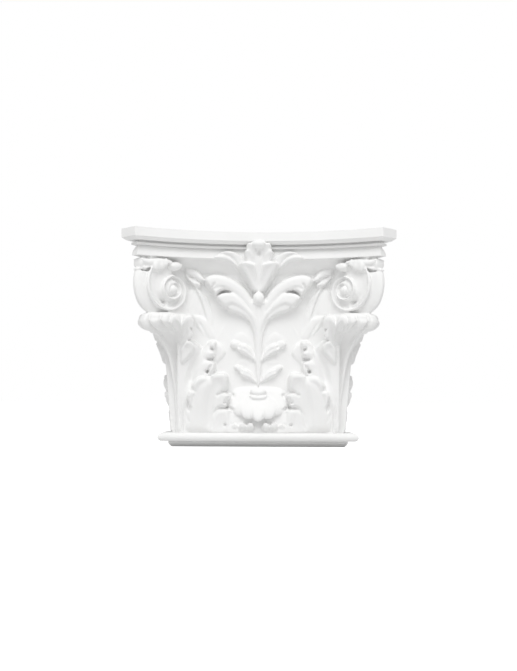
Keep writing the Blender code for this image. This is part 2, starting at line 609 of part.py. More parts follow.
def outline(inset):
    """Abacus in plan at an inset from its widest: side arc, horn, front arc, horn and side arc."""
    half_chord = WIDTH / 2 - HORN_CHAMFER
    radius = (half_chord ** 2 + ARC_HOLLOW ** 2) / (2 * ARC_HOLLOW)
    centre = DEPTH - ARC_HOLLOW + radius
    reach = radius + inset
    skew = WIDTH / 2 - DEPTH
    past = centre - (WIDTH / 2 + DEPTH - HORN_CHAMFER - inset * math.sqrt(2))
    to_chamfer = (math.sqrt(2 * reach ** 2 - past ** 2) - past) / 2
    to_ridge = (centre + skew - math.sqrt(max(2 * reach ** 2 - (centre + skew) ** 2, 0))) / 2
    x_horn = min(to_chamfer, to_ridge - RIDGE)
    across = np.linspace(-x_horn, x_horn, ARC_STEPS + 1)
    front = [(x, centre - math.sqrt(reach ** 2 - x ** 2)) for x in across]
    side = [(math.sqrt(reach ** 2 - (w + skew) ** 2) - centre - skew, w)
            for w in np.linspace(-OVERRUN, x_horn - skew, ARC_STEPS // 2)]
    return side + front + [(-x, w) for x, w in reversed(side)]


def rectangle(half_width, out, corner_cut=0.0):
    """Neck or bell in plan, with its front corners cut across."""
    if corner_cut == 0.0:
        left = [(-half_width, -OVERRUN), (-half_width, out)]
    else:
        left = [(-half_width, -OVERRUN), (-half_width, out - corner_cut), (corner_cut - half_width, out)]
    return left + [(-x, w) for x, w in reversed(left)]


def stacked(levels):
    """Closed solid through plan outlines, each given as a height and its points."""
    return ringed(np.array([[(x, w, z) for x, w in plan] for z, plan in levels]))


def abacus():
    """Slab, bevel, groove, fillet and cove, from the top down to the fascia's foot."""
    steps = [(0, 0), (SLAB_HEIGHT, 0), (BEVEL_HEIGHT, BEVEL_INSET),
             (0, GROOVE_INSET), (GROOVE_HEIGHT, GROOVE_INSET),
             (0, FILLET_INSET), (FILLET_HEIGHT, FILLET_INSET), (0, COVE_INSET)]
    for step in range(COVE_STEPS):
        turn = math.pi / 2 * (step + 1) / COVE_STEPS
        steps.append((COVE_HEIGHT / COVE_STEPS, COVE_INSET + (FASCIA_INSET - COVE_INSET) * math.sin(turn)))
    z = HEIGHT
    levels = []
    for drop, inset in steps:
        z -= drop
        levels.append((z, outline(inset)))
    return stacked(levels)


def soffit():
    """Hollow flare of the bell, from its own plan out to the foot of the fascia."""
    fascia_foot = HEIGHT - ABACUS_HEIGHT
    rim = np.array(outline(FASCIA_INSET + VOXEL))
    core = np.column_stack([np.clip(rim[:, 0], -BELL_HALF, BELL_HALF), np.minimum(rim[:, 1], BELL_FACE)])
    core -= np.sign(core) * VOXEL
    levels = [(fascia_foot - SOFFIT_DROP - SINK, core)]
    for step in range(SOFFIT_STEPS + 1):
        turn = math.pi / 2 * step / SOFFIT_STEPS
        plan = core + (rim - core) * (1 - math.cos(turn))
        levels.append((fascia_foot - SOFFIT_DROP * (1 - math.sin(turn)), plan))
    levels.append((fascia_foot + SINK, core + (rim - core) * 0.8))
    return stacked(levels)


def bell():
    """Plain bell behind the carving, from inside the neck bead to inside the abacus."""
    plan = rectangle(BELL_HALF, BELL_FACE, BELL_CORNER)
    return stacked([(NECK_MOULD - SINK, plan), (HEIGHT - ABACUS_HEIGHT + SINK, plan)])


def neck():
    """Cavetto, listel and round-nosed bead that the capital stands on."""
    levels = [(0, -CAVETTO_INSET + LISTEL_PROJECTION), (CAVETTO_HEIGHT, LISTEL_PROJECTION),
              (CAVETTO_HEIGHT + LISTEL_HEIGHT, LISTEL_PROJECTION)]
    middle = CAVETTO_HEIGHT + LISTEL_HEIGHT + BEAD_HEIGHT / 2
    nose = BEAD_HEIGHT / 2
    for step in range(BEAD_STEPS + 1):
        turn = math.pi * (step / BEAD_STEPS - 0.5)
        levels.append((middle + nose * math.sin(turn), BEAD_PROJECTION - nose * (1 - math.cos(turn))))
    return stacked([(z, rectangle(HALF_NECK + past, NECK_DEPTH + past)) for z, past in levels])


def wall_block():
    """Space behind the wall plane, cut away so that the back is flat."""
    plan = [(-WIDTH, -DEPTH), (-WIDTH, 0), (WIDTH, 0), (WIDTH, -DEPTH)]
    return stacked([(-HEIGHT, plan), (2 * HEIGHT, plan)])


def carving():
    """Every petal of the carving, with the bell and the soffit that it grows from."""
    left = calyx() + corner_core() + face_relief() + corner_leaf() + volute() + horn_leaf()
    left += [around_corner(solid) for solid in left]
    solids = left + [mirrored(solid) for solid in left]
    return solids + stalk() + seed() + cup() + curling_leaf() + fleuron() + [bell(), soffit()]


# Meshes and objects

def made_mesh(name, solids):
    """One mesh of closed solids in the capital's own frame, each with its faces pointing out."""
    middle = DEPTH / 2
    points, faces = [], []
    for solid_points, solid_faces in solids:
        placed = np.column_stack([solid_points[:, 0], middle - solid_points[:, 1], solid_points[:, 2]])
        if signed_volume(placed, solid_faces) < 0:
            solid_faces = [f[::-1] for f in solid_faces]
        faces += [tuple(v + len(points) for v in f) for f in solid_faces]
        points += placed.tolist()
    mesh = bpy.data.meshes.new(name)
    mesh.from_pydata(points, [], faces)
    return mesh


def signed_volume(points, faces):
    """Six times the volume, positive where the faces point out."""
    total = 0.0
    for f in faces:
        for i in range(1, len(f) - 1):
            total += float(np.dot(points[f[0]], np.cross(points[f[i]], points[f[i + 1]])))
    return total


def add_object(name, mesh):
    item = bpy.data.objects.new(name, mesh)
    bpy.context.scene.collection.objects.link(item)
    return item


def add_cutter(name, solid):
    """Helper solid for a Boolean, left out of the finished model."""
    item = add_object(name, made_mesh(name, [solid]))
    item.hide_render = True
    item.display_type = "WIRE"
    return item


def settled(item):
    """The object's mesh with its modifiers carried out."""
    graph = bpy.context.evaluated_depsgraph_get()
    return bpy.data.meshes.new_from_object(item.evaluated_get(graph))


def fused_skin():
    """The carving fused into one skin, without the pockets shut inside it, and thinned out."""
    raw = add_object("carving", made_mesh("carving", carving()))
    remesh = raw.modifiers.new("fuse", "REMESH")
    remesh.mode = "VOXEL"
    remesh.voxel_size = VOXEL
    skin = settled(raw)
    bpy.data.objects.remove(raw)
    keep_outer_shell(skin)
    dense = add_object("skin", skin)
    soften = dense.modifiers.new("soften", "SMOOTH")
    soften.factor = 0.5
    soften.iterations = 4
    thin = dense.modifiers.new("thin", "DECIMATE")
    thin.ratio = TRIANGLES / (2 * len(skin.polygons))
    result = settled(dense)
    bpy.data.objects.remove(dense)
    return result


def keep_outer_shell(mesh):
    """Delete every connected shell but the one with the most faces."""
    bm = bmesh.new()
    bm.from_mesh(mesh)
    left = set(bm.faces)
    shells = []
    while left:
        stack = [left.pop()]
        shell = list(stack)
        while stack:
            for edge in stack.pop().edges:
                for near in edge.link_faces:
                    if near in left:
                        left.remove(near)
                        stack.append(near)
                        shell.append(near)
        shells.append(shell)
    shells.sort(key=len)
    for shell in shells[:-1]:
        bmesh.ops.delete(bm, geom=shell, context="FACES")
    bm.to_mesh(mesh)
    bm.free()


def combine(item, other, operation):
    step = item.modifiers.new(other.name, "BOOLEAN")
    step.operation = operation
    step.object = other
    step.solver = "EXACT"


def plaster():
    """White primed casting."""
    material = bpy.data.materials.new("white casting")
    material.use_nodes = True
    shader = material.node_tree.nodes["Principled BSDF"]
    shader.inputs["Base Color"].default_value = (0.86, 0.86, 0.86, 1.0)
    shader.inputs["Roughness"].default_value = 0.6
    shader.inputs["Metallic"].default_value = 0.0
    return material


def main():
    for item in list(bpy.data.objects):
        bpy.data.objects.remove(item)
    capital = add_object("capital", fused_skin())
    combine(capital, add_cutter("abacus_form", abacus()), "UNION")
    combine(capital, add_cutter("neck_form", neck()), "UNION")
    combine(capital, add_cutter("wall_space", wall_block()), "DIFFERENCE")
    casting = settled(capital)
    keep_outer_shell(casting)
    capital.modifiers.clear()
    capital.data = casting
    casting.materials.clear()
    casting.materials.append(plaster())


main()
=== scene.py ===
# White cast Corinthian pilaster capital: its carving, mouldings, finish, floor and light
import math

import bmesh
import bpy
import numpy as np
from mathutils import Matrix, Vector


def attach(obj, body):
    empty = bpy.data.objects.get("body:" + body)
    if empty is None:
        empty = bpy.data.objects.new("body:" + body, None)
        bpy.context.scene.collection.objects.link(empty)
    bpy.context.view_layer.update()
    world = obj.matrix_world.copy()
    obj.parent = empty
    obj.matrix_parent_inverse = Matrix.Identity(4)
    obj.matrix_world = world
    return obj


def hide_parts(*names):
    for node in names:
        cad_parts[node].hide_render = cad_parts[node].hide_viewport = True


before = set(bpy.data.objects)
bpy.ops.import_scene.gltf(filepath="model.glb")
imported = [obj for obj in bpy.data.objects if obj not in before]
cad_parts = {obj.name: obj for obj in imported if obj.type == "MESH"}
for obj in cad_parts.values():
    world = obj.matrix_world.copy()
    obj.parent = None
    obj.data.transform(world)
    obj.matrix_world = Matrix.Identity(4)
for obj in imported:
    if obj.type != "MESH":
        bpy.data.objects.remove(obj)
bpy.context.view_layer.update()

# Overall sizes in metres, the same as the solid's
capitalHeight = 0.222
capitalWidth = 0.280
capitalDepth = 0.110
neckWidth = 0.180
neckDepth = 0.060

abacusSizes = {
    "slabHeight": 0.0090,  # upright face
    "bevelHeight": 0.0030,  # sloping underside of the slab
    "bevelInset": 0.0042,
    "grooveHeight": 0.0022,
    "grooveInset": 0.0112,
    "filletHeight": 0.0022,
    "filletInset": 0.0080,
    "coveHeight": 0.0106,  # hollow that runs down into the fascia
    "coveInset": 0.0128,  # at its top
    "fasciaInset": 0.0085,
    "hornChamfer": 0.0155,  # cut across each horn, along either face
    "arcHollow": 0.0340,  # how far the front face curves in between the horns
    "soffitDrop": 0.0210,  # flare of the bell under the abacus, hollow toward the horns
    "lipDrop": 0.0152,  # its rounded part along the middle of each face
    "lipStart": 0.75,  # share of the overhang that the rounded part takes
    "lipTurn": 1.4,  # how far round that part turns, in radians
    "lipReach": (0.016, 0.030),  # overhangs between which it turns hollow
    "arcSteps": 96,  # along the abacus front
    "coveSteps": 14,
    "soffitSteps": 12,
    "ridge": 0.0005,  # least width left where an inset outline runs to a point
}

neckSizes = {
    "cavettoHeight": 0.0035,
    "cavettoInset": 0.0035,
    "listelHeight": 0.0025,
    "listelProjection": 0.0030,  # past the shaft's face
    "beadHeight": 0.0085,
    "beadProjection": 0.0135,
    "beadSteps": 20,
}

bellSizes = {
    "bellInset": 0.0030,  # behind the shaft's face
    "bellCorner": 0.0120,  # flat across the bell's corners
    "sink": 0.0040,  # how deep the carving is rooted in the bell
}

scrollSizes = {
    "scrollRadii": (40, 30, 21.3, 17.4, 14.8, 13.4, 10.4, 9.4, 8.2, 6.6, 5.2, 4.4),
    "scrollEye": 3.8,  # radius of the knob at its middle
    "scrollRim": 9.5,  # how far the side of the scroll bulges past its face
    "eyePlace": (10.5, 147.0),  # out along the corner's diagonal and up
    "faceOut": 11.3,  # the scroll's face from the diagonal
    "faceLean": 0.09,  # how much it leans back outward
    "rimTop": 164,  # height at which the horn leaf hides the rim
    "faceTop": 173,
}

curledLeaf = {
    "reach": 25,  # at its middle
    "sideReach": 8,  # more at its sides
    "sideTurn": 85,  # plan angle of those sides
    "springs": 44,  # height that it curls from
    "flatter": 0.42,  # share by which its sides hang less
    "behind": 6,  # its axis behind the bell's face
}

grain = {
    "voxel": 0.0007,  # cell that fuses the petals into one skin
    "stations": 30,  # along a petal
    "round": 28,  # around a petal
}

# The carving is 180 parts high and the neck is 180 parts wide
partsHigh = 180
neckMould = sum(neckSizes[name] for name in ("cavettoHeight", "listelHeight", "beadHeight"))
abacusHeight = sum(abacusSizes[name] for name in ("slabHeight", "bevelHeight", "grooveHeight",
                                                  "filletHeight", "coveHeight"))
part = neckWidth / partsHigh
partUp = (capitalHeight - abacusHeight - neckMould) / partsHigh
halfNeck = neckWidth / 2
diagonal = halfNeck - neckDepth  # |x| less distance out, along each corner's diagonal
hornOverhang = (capitalWidth / 2 - halfNeck + capitalDepth - neckDepth) / math.sqrt(2)
partOut = hornOverhang / 71  # parts along a corner's diagonal
bellFace = neckDepth - bellSizes["bellInset"]
bellHalf = halfNeck - bellSizes["bellInset"]
overrun = 0.004  # solids run past the wall before the flat cut

frontWay = np.array([0.0, 1.0, 0.0])
outWay = np.array([-1.0, 1.0, 0.0]) / math.sqrt(2)  # left corner's diagonal
acrossWay = np.array([1.0, 1.0, 0.0]) / math.sqrt(2)  # across that diagonal, toward the front face
upWay = np.array([0.0, 0.0, 1.0])


# Places. Points are (sideways, out from the wall, up) until the mesh is made

# Height of a carving part; above the carving, parts follow the abacus.
def level(z):
    above = max(z - partsHigh, 0)
    return neckMould + min(z, partsHigh) * partUp + above * abacusHeight / 27


# Point on the front face, lift parts in front of the bell.
def face(x, z, lift):
    return np.array([x * part, bellFace + lift * part, level(z)])


# Point a parts out along the left corner's diagonal and b parts across it.
def corner(a, b, z):
    foot = np.array([-halfNeck, neckDepth, 0.0])
    return foot + a * partOut * outWay + b * part * acrossWay + level(z) * upWay


# Petals

# Catmull-Rom curve through the knots, read at places from 0 to 1.
def smoothPath(knots, places):
    knots = np.asarray(knots, dtype=float)
    ends = np.vstack([2 * knots[0] - knots[1], knots, 2 * knots[-1] - knots[-2]])
    spans = len(knots) - 1
    along = np.clip(places * spans, 0, spans - 1e-9)
    first = along.astype(int)
    u = (along - first)[:, None]
    p0, p1, p2, p3 = (ends[first + k] for k in range(4))
    return 0.5 * (2 * p1 + (p2 - p0) * u + (2 * p0 - 5 * p1 + 4 * p2 - p3) * u ** 2
                  + (3 * p1 - p0 - 3 * p2 + p3) * u ** 3)


def unit(vectors):
    return vectors / np.linalg.norm(vectors, axis=-1, keepdims=True)


# Width along a petal, from 0 through 1 and back to 0; lower powers make rounder ends.
def swell(t, root, tip):
    peak = root / (root + tip)
    return (t / peak) ** root * ((1 - t) / (1 - peak)) ** tip


# One lobe of carving: a closed pad along a curved spine.
# The knots lie on its ridge. Width is half its breadth and crown its rounded height. It faces out,
# with straight sides down to depth, or into the bell where no depth is given.
def petal(knots, width, crown, out=frontWay, depth=None, root=0.6, tip=0.5):
    t = (1 - np.cos(np.linspace(0.06, math.pi - 0.06, grain["stations"]))) / 2
    path = smoothPath(knots, t)
    side = unit(np.cross(unit(np.gradient(path, axis=0)), out))
    if depth is None:
        depths = np.maximum(path[:, 1] - bellFace, 0) + bellSizes["sink"]
    else:
        depths = np.full(grain["stations"], depth * part)
    fullness = swell(t, root, tip)
    half = (width * part * fullness)[:, None, None]
    rise = (crown * part * np.sqrt(fullness))[:, None]
    turn = np.linspace(0, 2 * math.pi, grain["round"], endpoint=False)
    crest = np.maximum(np.sin(turn), 0)
    trough = np.maximum(-np.sin(turn), 0) ** 0.4
    height = rise * crest - depths[:, None] * trough
    base = path - out * rise
    return ringed(base[:, None, :] + side[:, None, :] * half * np.cos(turn)[None, :, None]
                  + out * height[:, :, None])


# Flaring leaf top: a solid turned about an upright axis, with its reach changing along the arc.
# Turns are plan angles from the heading. For each one reach and base are the outer and inner radius,
# and profile gives knots of (share of the way from base to reach, height). Notches are the turns
# between lobes, cut from notchStart to the rim. Shape gives a column's last changes.
def fan(foot, heading, across, turns, reach, base, profile, notches, notchDepth, shape, notchStart):
    t = np.linspace(0, 1, 3 * grain["stations"])
    edges = np.asarray(notches, dtype=float)
    columns = []
    for turn in turns:
        share, z = smoothPath(profile(turn), t).T
        near = np.clip(np.searchsorted(edges, turn) - 1, 0, len(edges) - 2)
        middle, half = (edges[near] + edges[near + 1]) / 2, (edges[near + 1] - edges[near]) / 2
        groove = min(abs(turn - middle) / half, 1.0) ** 3.5
        cut = notchDepth * groove ** 1.8 * np.clip((share - notchStart) / (1 - notchStart), 0, 1)
        radius = base(turn) + share * (reach(turn) - base(turn)) - cut
        radius, z = shape(turn, share, z, radius, groove)
        way = math.cos(math.radians(turn)) * heading + math.sin(math.radians(turn)) * across
        columns.append([foot + r * part * way + level(h) * upWay for r, h in zip(radius, z)])
    columns = np.array(columns)
    core = np.array([foot + h * upWay for h in np.linspace(columns[0, 0, 2], columns[0, -1, 2], len(t))])
    rings = [np.vstack([columns[:, i], core[i:i + 1]]) for i in range(len(t))]
    return ringed(np.array(rings))


# Closed mesh through rings of points, with a flat face over each end.
def ringed(rings):
    count, around = rings.shape[:2]
    faces = [tuple(range(around))[::-1], tuple(range((count - 1) * around, count * around))]
    for i in range(count - 1):
        for j in range(around):
            k = (j + 1) % around
            faces.append((i * around + j, i * around + k, (i + 1) * around + k, (i + 1) * around + j))
    return rings.reshape(-1, 3), faces


# The same solid across the capital's middle.
def mirrored(solid):
    points, faces = solid
    return points * np.array([-1.0, 1.0, 1.0]), [f[::-1] for f in faces]


# The same solid across the left corner's diagonal: from the front face to the side face.
def aroundCorner(solid):
    points, faces = solid
    turnedPoints = np.column_stack([-points[:, 1] - diagonal, -points[:, 0] - diagonal, points[:, 2]])
    return turnedPoints, [f[::-1] for f in faces]


# Rounded knob, squashed upward or down.
def ball(centre, radius, squash):
    t = np.linspace(0.04, math.pi - 0.04, grain["stations"] // 2)
    turn = np.linspace(0, 2 * math.pi, grain["round"], endpoint=False)
    flat = np.sin(t)[:, None] * radius * part
    rings = np.stack([flat * np.cos(turn), flat * np.sin(turn),
                      np.cos(t)[:, None] * radius * part * squash + 0 * turn], axis=-1)
    return ringed(rings + centre)


# Middle of the front face

# Three-stranded stalk from the seed down to the cup.
def stalk():
    strands = []
    for x, lift in ((-3.2, 6.6), (0, 7.4), (3.2, 6.6)):
        knots = [face(x, 134, lift), face(x * 0.8, 116, lift - 1), face(x * 0.4, 90, lift - 2.5),
                 face(0, 48, 4)]
        strands.append(petal(knots, 2.6, 1.7, root=0.3, tip=0.4))
    return strands


# Domed seed under the fleuron, on a flat collar.
def seed():
    collar = [face(-6, 134.5, 9.5), face(6, 134.5, 9.5)]
    stem = [face(0, 145, 6), face(0, 133, 6)]
    return [ball(face(0, 139.5, 8), 6.0, 1.1), petal(collar, 1.4, 1.4, root=0.3, tip=0.3),
            petal(stem, 4, 2, root=0.3, tip=0.3)]


# Small round cup that the stalk grows from, over a rolled rim.
def cup():
    bowl = [face(-8.2, 43.5, 9), face(0, 41.5, 13), face(8.2, 43.5, 9)]
    rim = [face(-9, 38.6, 9), face(-4.5, 36.4, 13), face(4.5, 36.4, 13), face(9, 38.6, 9)]
    return [petal(bowl, 3.5, 4, root=0.35, tip=0.35), petal(rim, 1.9, 2.6, root=0.3, tip=0.3)]


# Leaf at the foot of the face that fans out and hangs over, with small upright lobes beneath.
def curlingLeaf():
    section = [(0.1, 47), (0.4, 42), (0.62, 36), (0.8, 29.5), (0.94, 23), (1.0, 18), (0.98, 14),
               (0.88, 13.5), (0.55, 20), (0.1, 24)]

    def reach(turn):
        return curledLeaf["reach"] + curledLeaf["sideReach"] * (turn / curledLeaf["sideTurn"]) ** 2

    def profile(turn):
        drop = 1 - curledLeaf["flatter"] * (turn / curledLeaf["sideTurn"]) ** 2
        springs = curledLeaf["springs"]
        return [(share, springs - (springs - z) * drop) for share, z in section]

    def tips(turn, share, z, radius, groove):
        keel = np.clip(1 - abs(turn) / 15, 0, 1)
        hanging = np.clip((share - 0.8) / 0.2, 0, 1)
        return radius + 1.5 * keel * hanging, z - (2 * keel - 3.5 * groove ** 0.7) * hanging

    foot = np.array([0.0, bellFace - curledLeaf["behind"] * part, 0.0])
    sideways = np.array([1.0, 0.0, 0.0])
    turns = np.linspace(-88, 88, 6 * grain["round"])
    parts = [fan(foot, frontWay, sideways, turns, reach, lambda turn: 1.0, profile,
                 [-110, -70, -44, -15, 15, 44, 70, 110], 1.4, tips, 0.78)]
    parts.append(petal([face(0, -2, 2), face(0, 6, 3.5)], 2.6, 2, root=0.4, tip=0.5))
    for side in (-1, 1):
        ear = [face(side * 29, 22, 4), face(side * 25, 18.5, 8), face(side * 20.5, 18, 8)]
        parts.append(petal(ear, 3.6, 3.6))
        for x, top, lift in ((8, 10.5, 16), (16, 10.5, 15.5), (24, 9, 12)):
            lobe = [face(side * x * 0.94, -2, 3), face(side * x, 5, lift - 1.5), face(side * x, top, lift)]
            parts.append(petal(lobe, 4.2, 3, root=0.4, tip=0.45))
    return parts


# Flattened ball at the top of the flower on the middle of the abacus.
def fleuron():
    place = face(0, 194.5, 0)
    place[1] += 0.95 * (capitalDepth - abacusSizes["arcHollow"] - bellFace)
    return [ball(place, 8.2, 0.6)]


# Left half of the front face

# Filling between the stem on the face and the volute.
def calyx():
    web = [face(-66, 108, 0), face(-70, 128, 2), corner(-7, 4, 142), corner(1, 5, 158), corner(8, 6, 168)]
    return [petal(web, 9, 3, root=0.5, tip=0.4)]


# Front half of the solid that ties bell, corner leaf, scroll and horn together behind their faces.
def cornerCore():
    rings = [[corner(-26, -2, z), corner(-26, half, z), corner(reach, half, z), corner(reach, -2, z)]
             for z, half, reach in ((112, 12, 8), (124, 10, 14), (146, 8, 18), (164, 8, 26), (172, 7, 36),
                                    (186, 7, 38))]
    return [ringed(np.array(rings))]


# Reach of the corner leaf's curled rim from its axis, by plan angle off the diagonal.
def leafRim(turn):
    return np.interp(turn, (-6, 0, 14, 26, 38, 45, 53, 64, 90), (61, 61, 57, 50.5, 44.5, 42.5, 41, 38, 34))


# Radius of the corner leaf at its foot, from a rounded corner into the front face.
def leafFoot(turn):
    return np.interp(turn, (-6, 0, 20, 45, 62, 90), (12, 12, 14, 16.5, 15.5, 13))


# Section of the corner leaf: it curls over at the diagonal and flares at its edge.
def leafProfile(turn):
    curled = np.array([(0, -2), (0.01, 23), (0.06, 44), (0.14, 64), (0.24, 80), (0.42, 92), (0.6, 101),
                       (0.78, 103.5), (0.93, 106), (1.0, 112), (0.96, 119), (0.85, 122), (0.5, 123.5),
                       (0, 123.5)])
    flared = np.array([(0, -2), (0.07, 23), (0.17, 46), (0.33, 64), (0.52, 80), (0.68, 92), (0.8, 101),
                       (0.88, 107), (0.96, 112), (1.03, 116), (1.02, 119), (0.85, 120.5), (0.5, 121.5),
                       (0, 122)])
    blend = np.clip((abs(turn) - 18) / 16, 0, 1)
    return curled * (1 - blend) + flared * blend


# Plan angle of the corner leaf's lobed edge at each height.
def leafEdge(z):
    return np.interp(z, (0, 60, 74, 84, 90, 95.5, 97.5, 101, 105, 106.8, 109, 112, 130),
                     (36, 35, 36, 39.5, 47, 51, 55.5, 58.5, 60, 51, 58, 59.5, 59.5))


# Bowl between midrib and edge, the rib itself, lobes along the rim and the lobed edge.
def shapedLeaf(turn, share, z, radius, groove):
    bowl = 12.5 * math.sin(math.pi * min(max(turn / 52, 0), 1)) ** 0.8
    under = np.clip((z - 30) / 50, 0, 1) * np.clip((1.0 - share) / 0.2, 0, 1) * (z < 117)
    rib = 2.2 * math.exp(-(turn / 5) ** 2) * np.clip((100 - z) / 20, 0, 1)
    upright = np.clip((turn - 24) / 8, 0, 1)
    dip = 8.5 * groove ** 0.6 * upright * np.clip((share - 0.6) / 0.4, 0, 1)
    overhang = np.clip((share - 0.7) / 0.2, 0, 1) * np.clip((115 - z) / 6, 0, 1)
    lip = 6 * groove ** 0.5 * (1 - upright) * overhang
    past = np.clip((turn - leafEdge(z)) / 4, 0, 1)
    past = past * past * (3 - 2 * past)
    inner = leafFoot(turn) - 3 * past
    return (radius - bowl * under + rib) * (1 - past) + inner * past, z - dip + lip


# Front half of the tall leaf that wraps the corner and curls over under the volute.
def cornerLeaf():
    foot = corner(-20, 0, 0)
    foot[2] = 0.0
    turns = np.concatenate([np.linspace(-5, 62, 5 * grain["round"]),
                            np.linspace(63, 85, grain["round"] // 2)])
    return [fan(foot, outWay, acrossWay, turns, leafRim, leafFoot, leafProfile,
                [-6, 6, 18.5, 27.5, 41, 62, 90], 7, shapedLeaf, 0.86)]


# Radius of the spiral's outer edge, by quarter turns from straight above the eye.
def scrollEdge(quarters):
    radii = np.array(scrollSizes["scrollRadii"], dtype=float)[:, None]
    return smoothPath(radii, quarters / (len(radii) - 1))[:, 0]


# Front half of the corner scroll: a filleted channel wound round a raised eye, over a broad rim.
def volute():
    quarters = np.linspace(0, 4, 7 * grain["round"], endpoint=False)
    edge = scrollEdge(quarters)
    bulge = scrollSizes["scrollRim"] * softStep((2.1 - quarters) / 0.9) + 1.2
    side = [(-2, 1), (0, 1), (1.2, 0.97), (2.8, 0.84), (4.4, 0.55), (5.3, 0.2), (6, -0.12), (6.8, -0.14),
            (7.5, 0.03), (9.4, 0.06)]
    rings = [scrollRing(edge + share * bulge, quarters, b, scrollSizes["rimTop"]) for b, share in side]
    for share in np.linspace(1.0, 0.015, 4 * grain["stations"]):
        height = scrollHeight(edge * share, quarters) - (share > 0.99)
        rings.append(scrollRing(edge * share, quarters, height, scrollSizes["faceTop"], True))
    return [ringed(np.array(rings))]


# Height of the scroll's face over its plane: fillets, channel, the hollow under the eye and the eye.
def scrollHeight(radius, quarters):
    height = np.zeros(len(quarters))
    last = len(scrollSizes["scrollRadii"]) - 1.001
    wind = [scrollEdge(np.minimum(quarters + 4 * k, last)) for k in range(3)]
    below = np.maximum(-np.cos((quarters + 0.08) * math.pi / 2), 0)
    for k, (fillet, base, deepest) in enumerate(((2.6, 0.0, 9.0), (2.0, 3.0, 2.0))):
        away = wind[k] - radius
        share = np.clip(away / (wind[k] - wind[k + 1]), 0, 1)
        inside = softStep(away / 0.9 + 0.5)
        line = 1.8 * (1 - softStep((away - fillet + 0.7) / 1.4))
        quirk = 1.8 * np.exp(-((away - fillet - 1.1) / 1.0) ** 2)
        channel = 1.6 * np.sin(math.pi * share)
        crescent = deepest * below ** 3 * np.exp(-((share - 0.76) / 0.2) ** 2)
        height = height * (1 - inside) + inside * (base + line - quirk - channel - crescent)
    knob = 2.6 * np.sqrt(np.clip(1 - (radius / scrollSizes["scrollEye"]) ** 2, 0, 1))
    groove = 3.0 * np.exp(-((radius - scrollSizes["scrollEye"] - 0.8) / 0.8) ** 2) * (0.4 + 0.6 * below)
    return height + knob - groove


# Ring of points about the scroll's eye, cut off at the top; its face leans back outward.
def scrollRing(radius, quarters, middle, top, leaning=False):
    eyeA, eyeZ = scrollSizes["eyePlace"]
    a = eyeA + radius * np.sin(quarters * math.pi / 2)
    z = np.minimum(eyeZ + radius * np.cos(quarters * math.pi / 2), top)
    leaned = middle + scrollSizes["faceOut"] - scrollSizes["faceLean"] * (a - eyeA)
    across = leaned if leaning else middle + 0 * a
    return [corner(a[j], across[j], z[j]) for j in range(len(a))]


# Leaf folded over the volute below the horn: a bright fold, a hollow, a lower rim and hanging lobes.
def hornLeaf():
    fold = [corner(14, 16, 175), corner(28, 14, 174.6), corner(39.5, 10.5, 173.6), corner(47.5, 6, 176)]
    heart = [corner(10, 5, 171), corner(30, 4.5, 172), corner(41, 2, 172), corner(48, 0, 172.5)]
    rim = [corner(33, 10.5, 171), corner(40, 8, 168.3), corner(46, 4.8, 166.8), corner(51.3, 1.2, 165.3)]
    parts = [petal(fold, 3.2, 3.0, out=acrossWay, depth=12, root=0.3, tip=0.4),
             petal(heart, 7.0, 2, out=acrossWay, depth=5, root=0.3, tip=0.3),
             petal(rim, 1.7, 2.2, out=acrossWay, depth=3, root=0.3, tip=0.4)]
    for a, b, top, tip, width in ((31, 14, 173, 165, 4.6), (25, 15, 173, 166.5, 3.6), (20, 16, 175, 172, 3)):
        lobe = [corner(a + 1, b - 2, top + 3.5), corner(a + 0.7, b - 0.5, top + 1),
                corner(a + 0.3, b, top - 2.5), corner(a, b - 1, tip)]
        parts.append(petal(lobe, width, 2.2, out=acrossWay, depth=14, root=0.8, tip=0.35))
    knob = [corner(15.5, 17.5, 170.5), corner(9.5, 19, 171), corner(3, 19, 172)]
    parts.append(petal(knob, 4.6, 4.6, out=acrossWay, depth=13, root=0.5, tip=0.5))
    return parts


# Relief of the front face: heights over a grid of parts, worked leaf by leaf from back to front.
# Each leaf leans from low at its root to high at its tip, toward an angle off the upright.
# Each has toward, low, high, the width and depth of its rounded edge and its hollow; then its outline,
# its cuts as (line, width, depth) and its pits as (x, z, radius, depth)

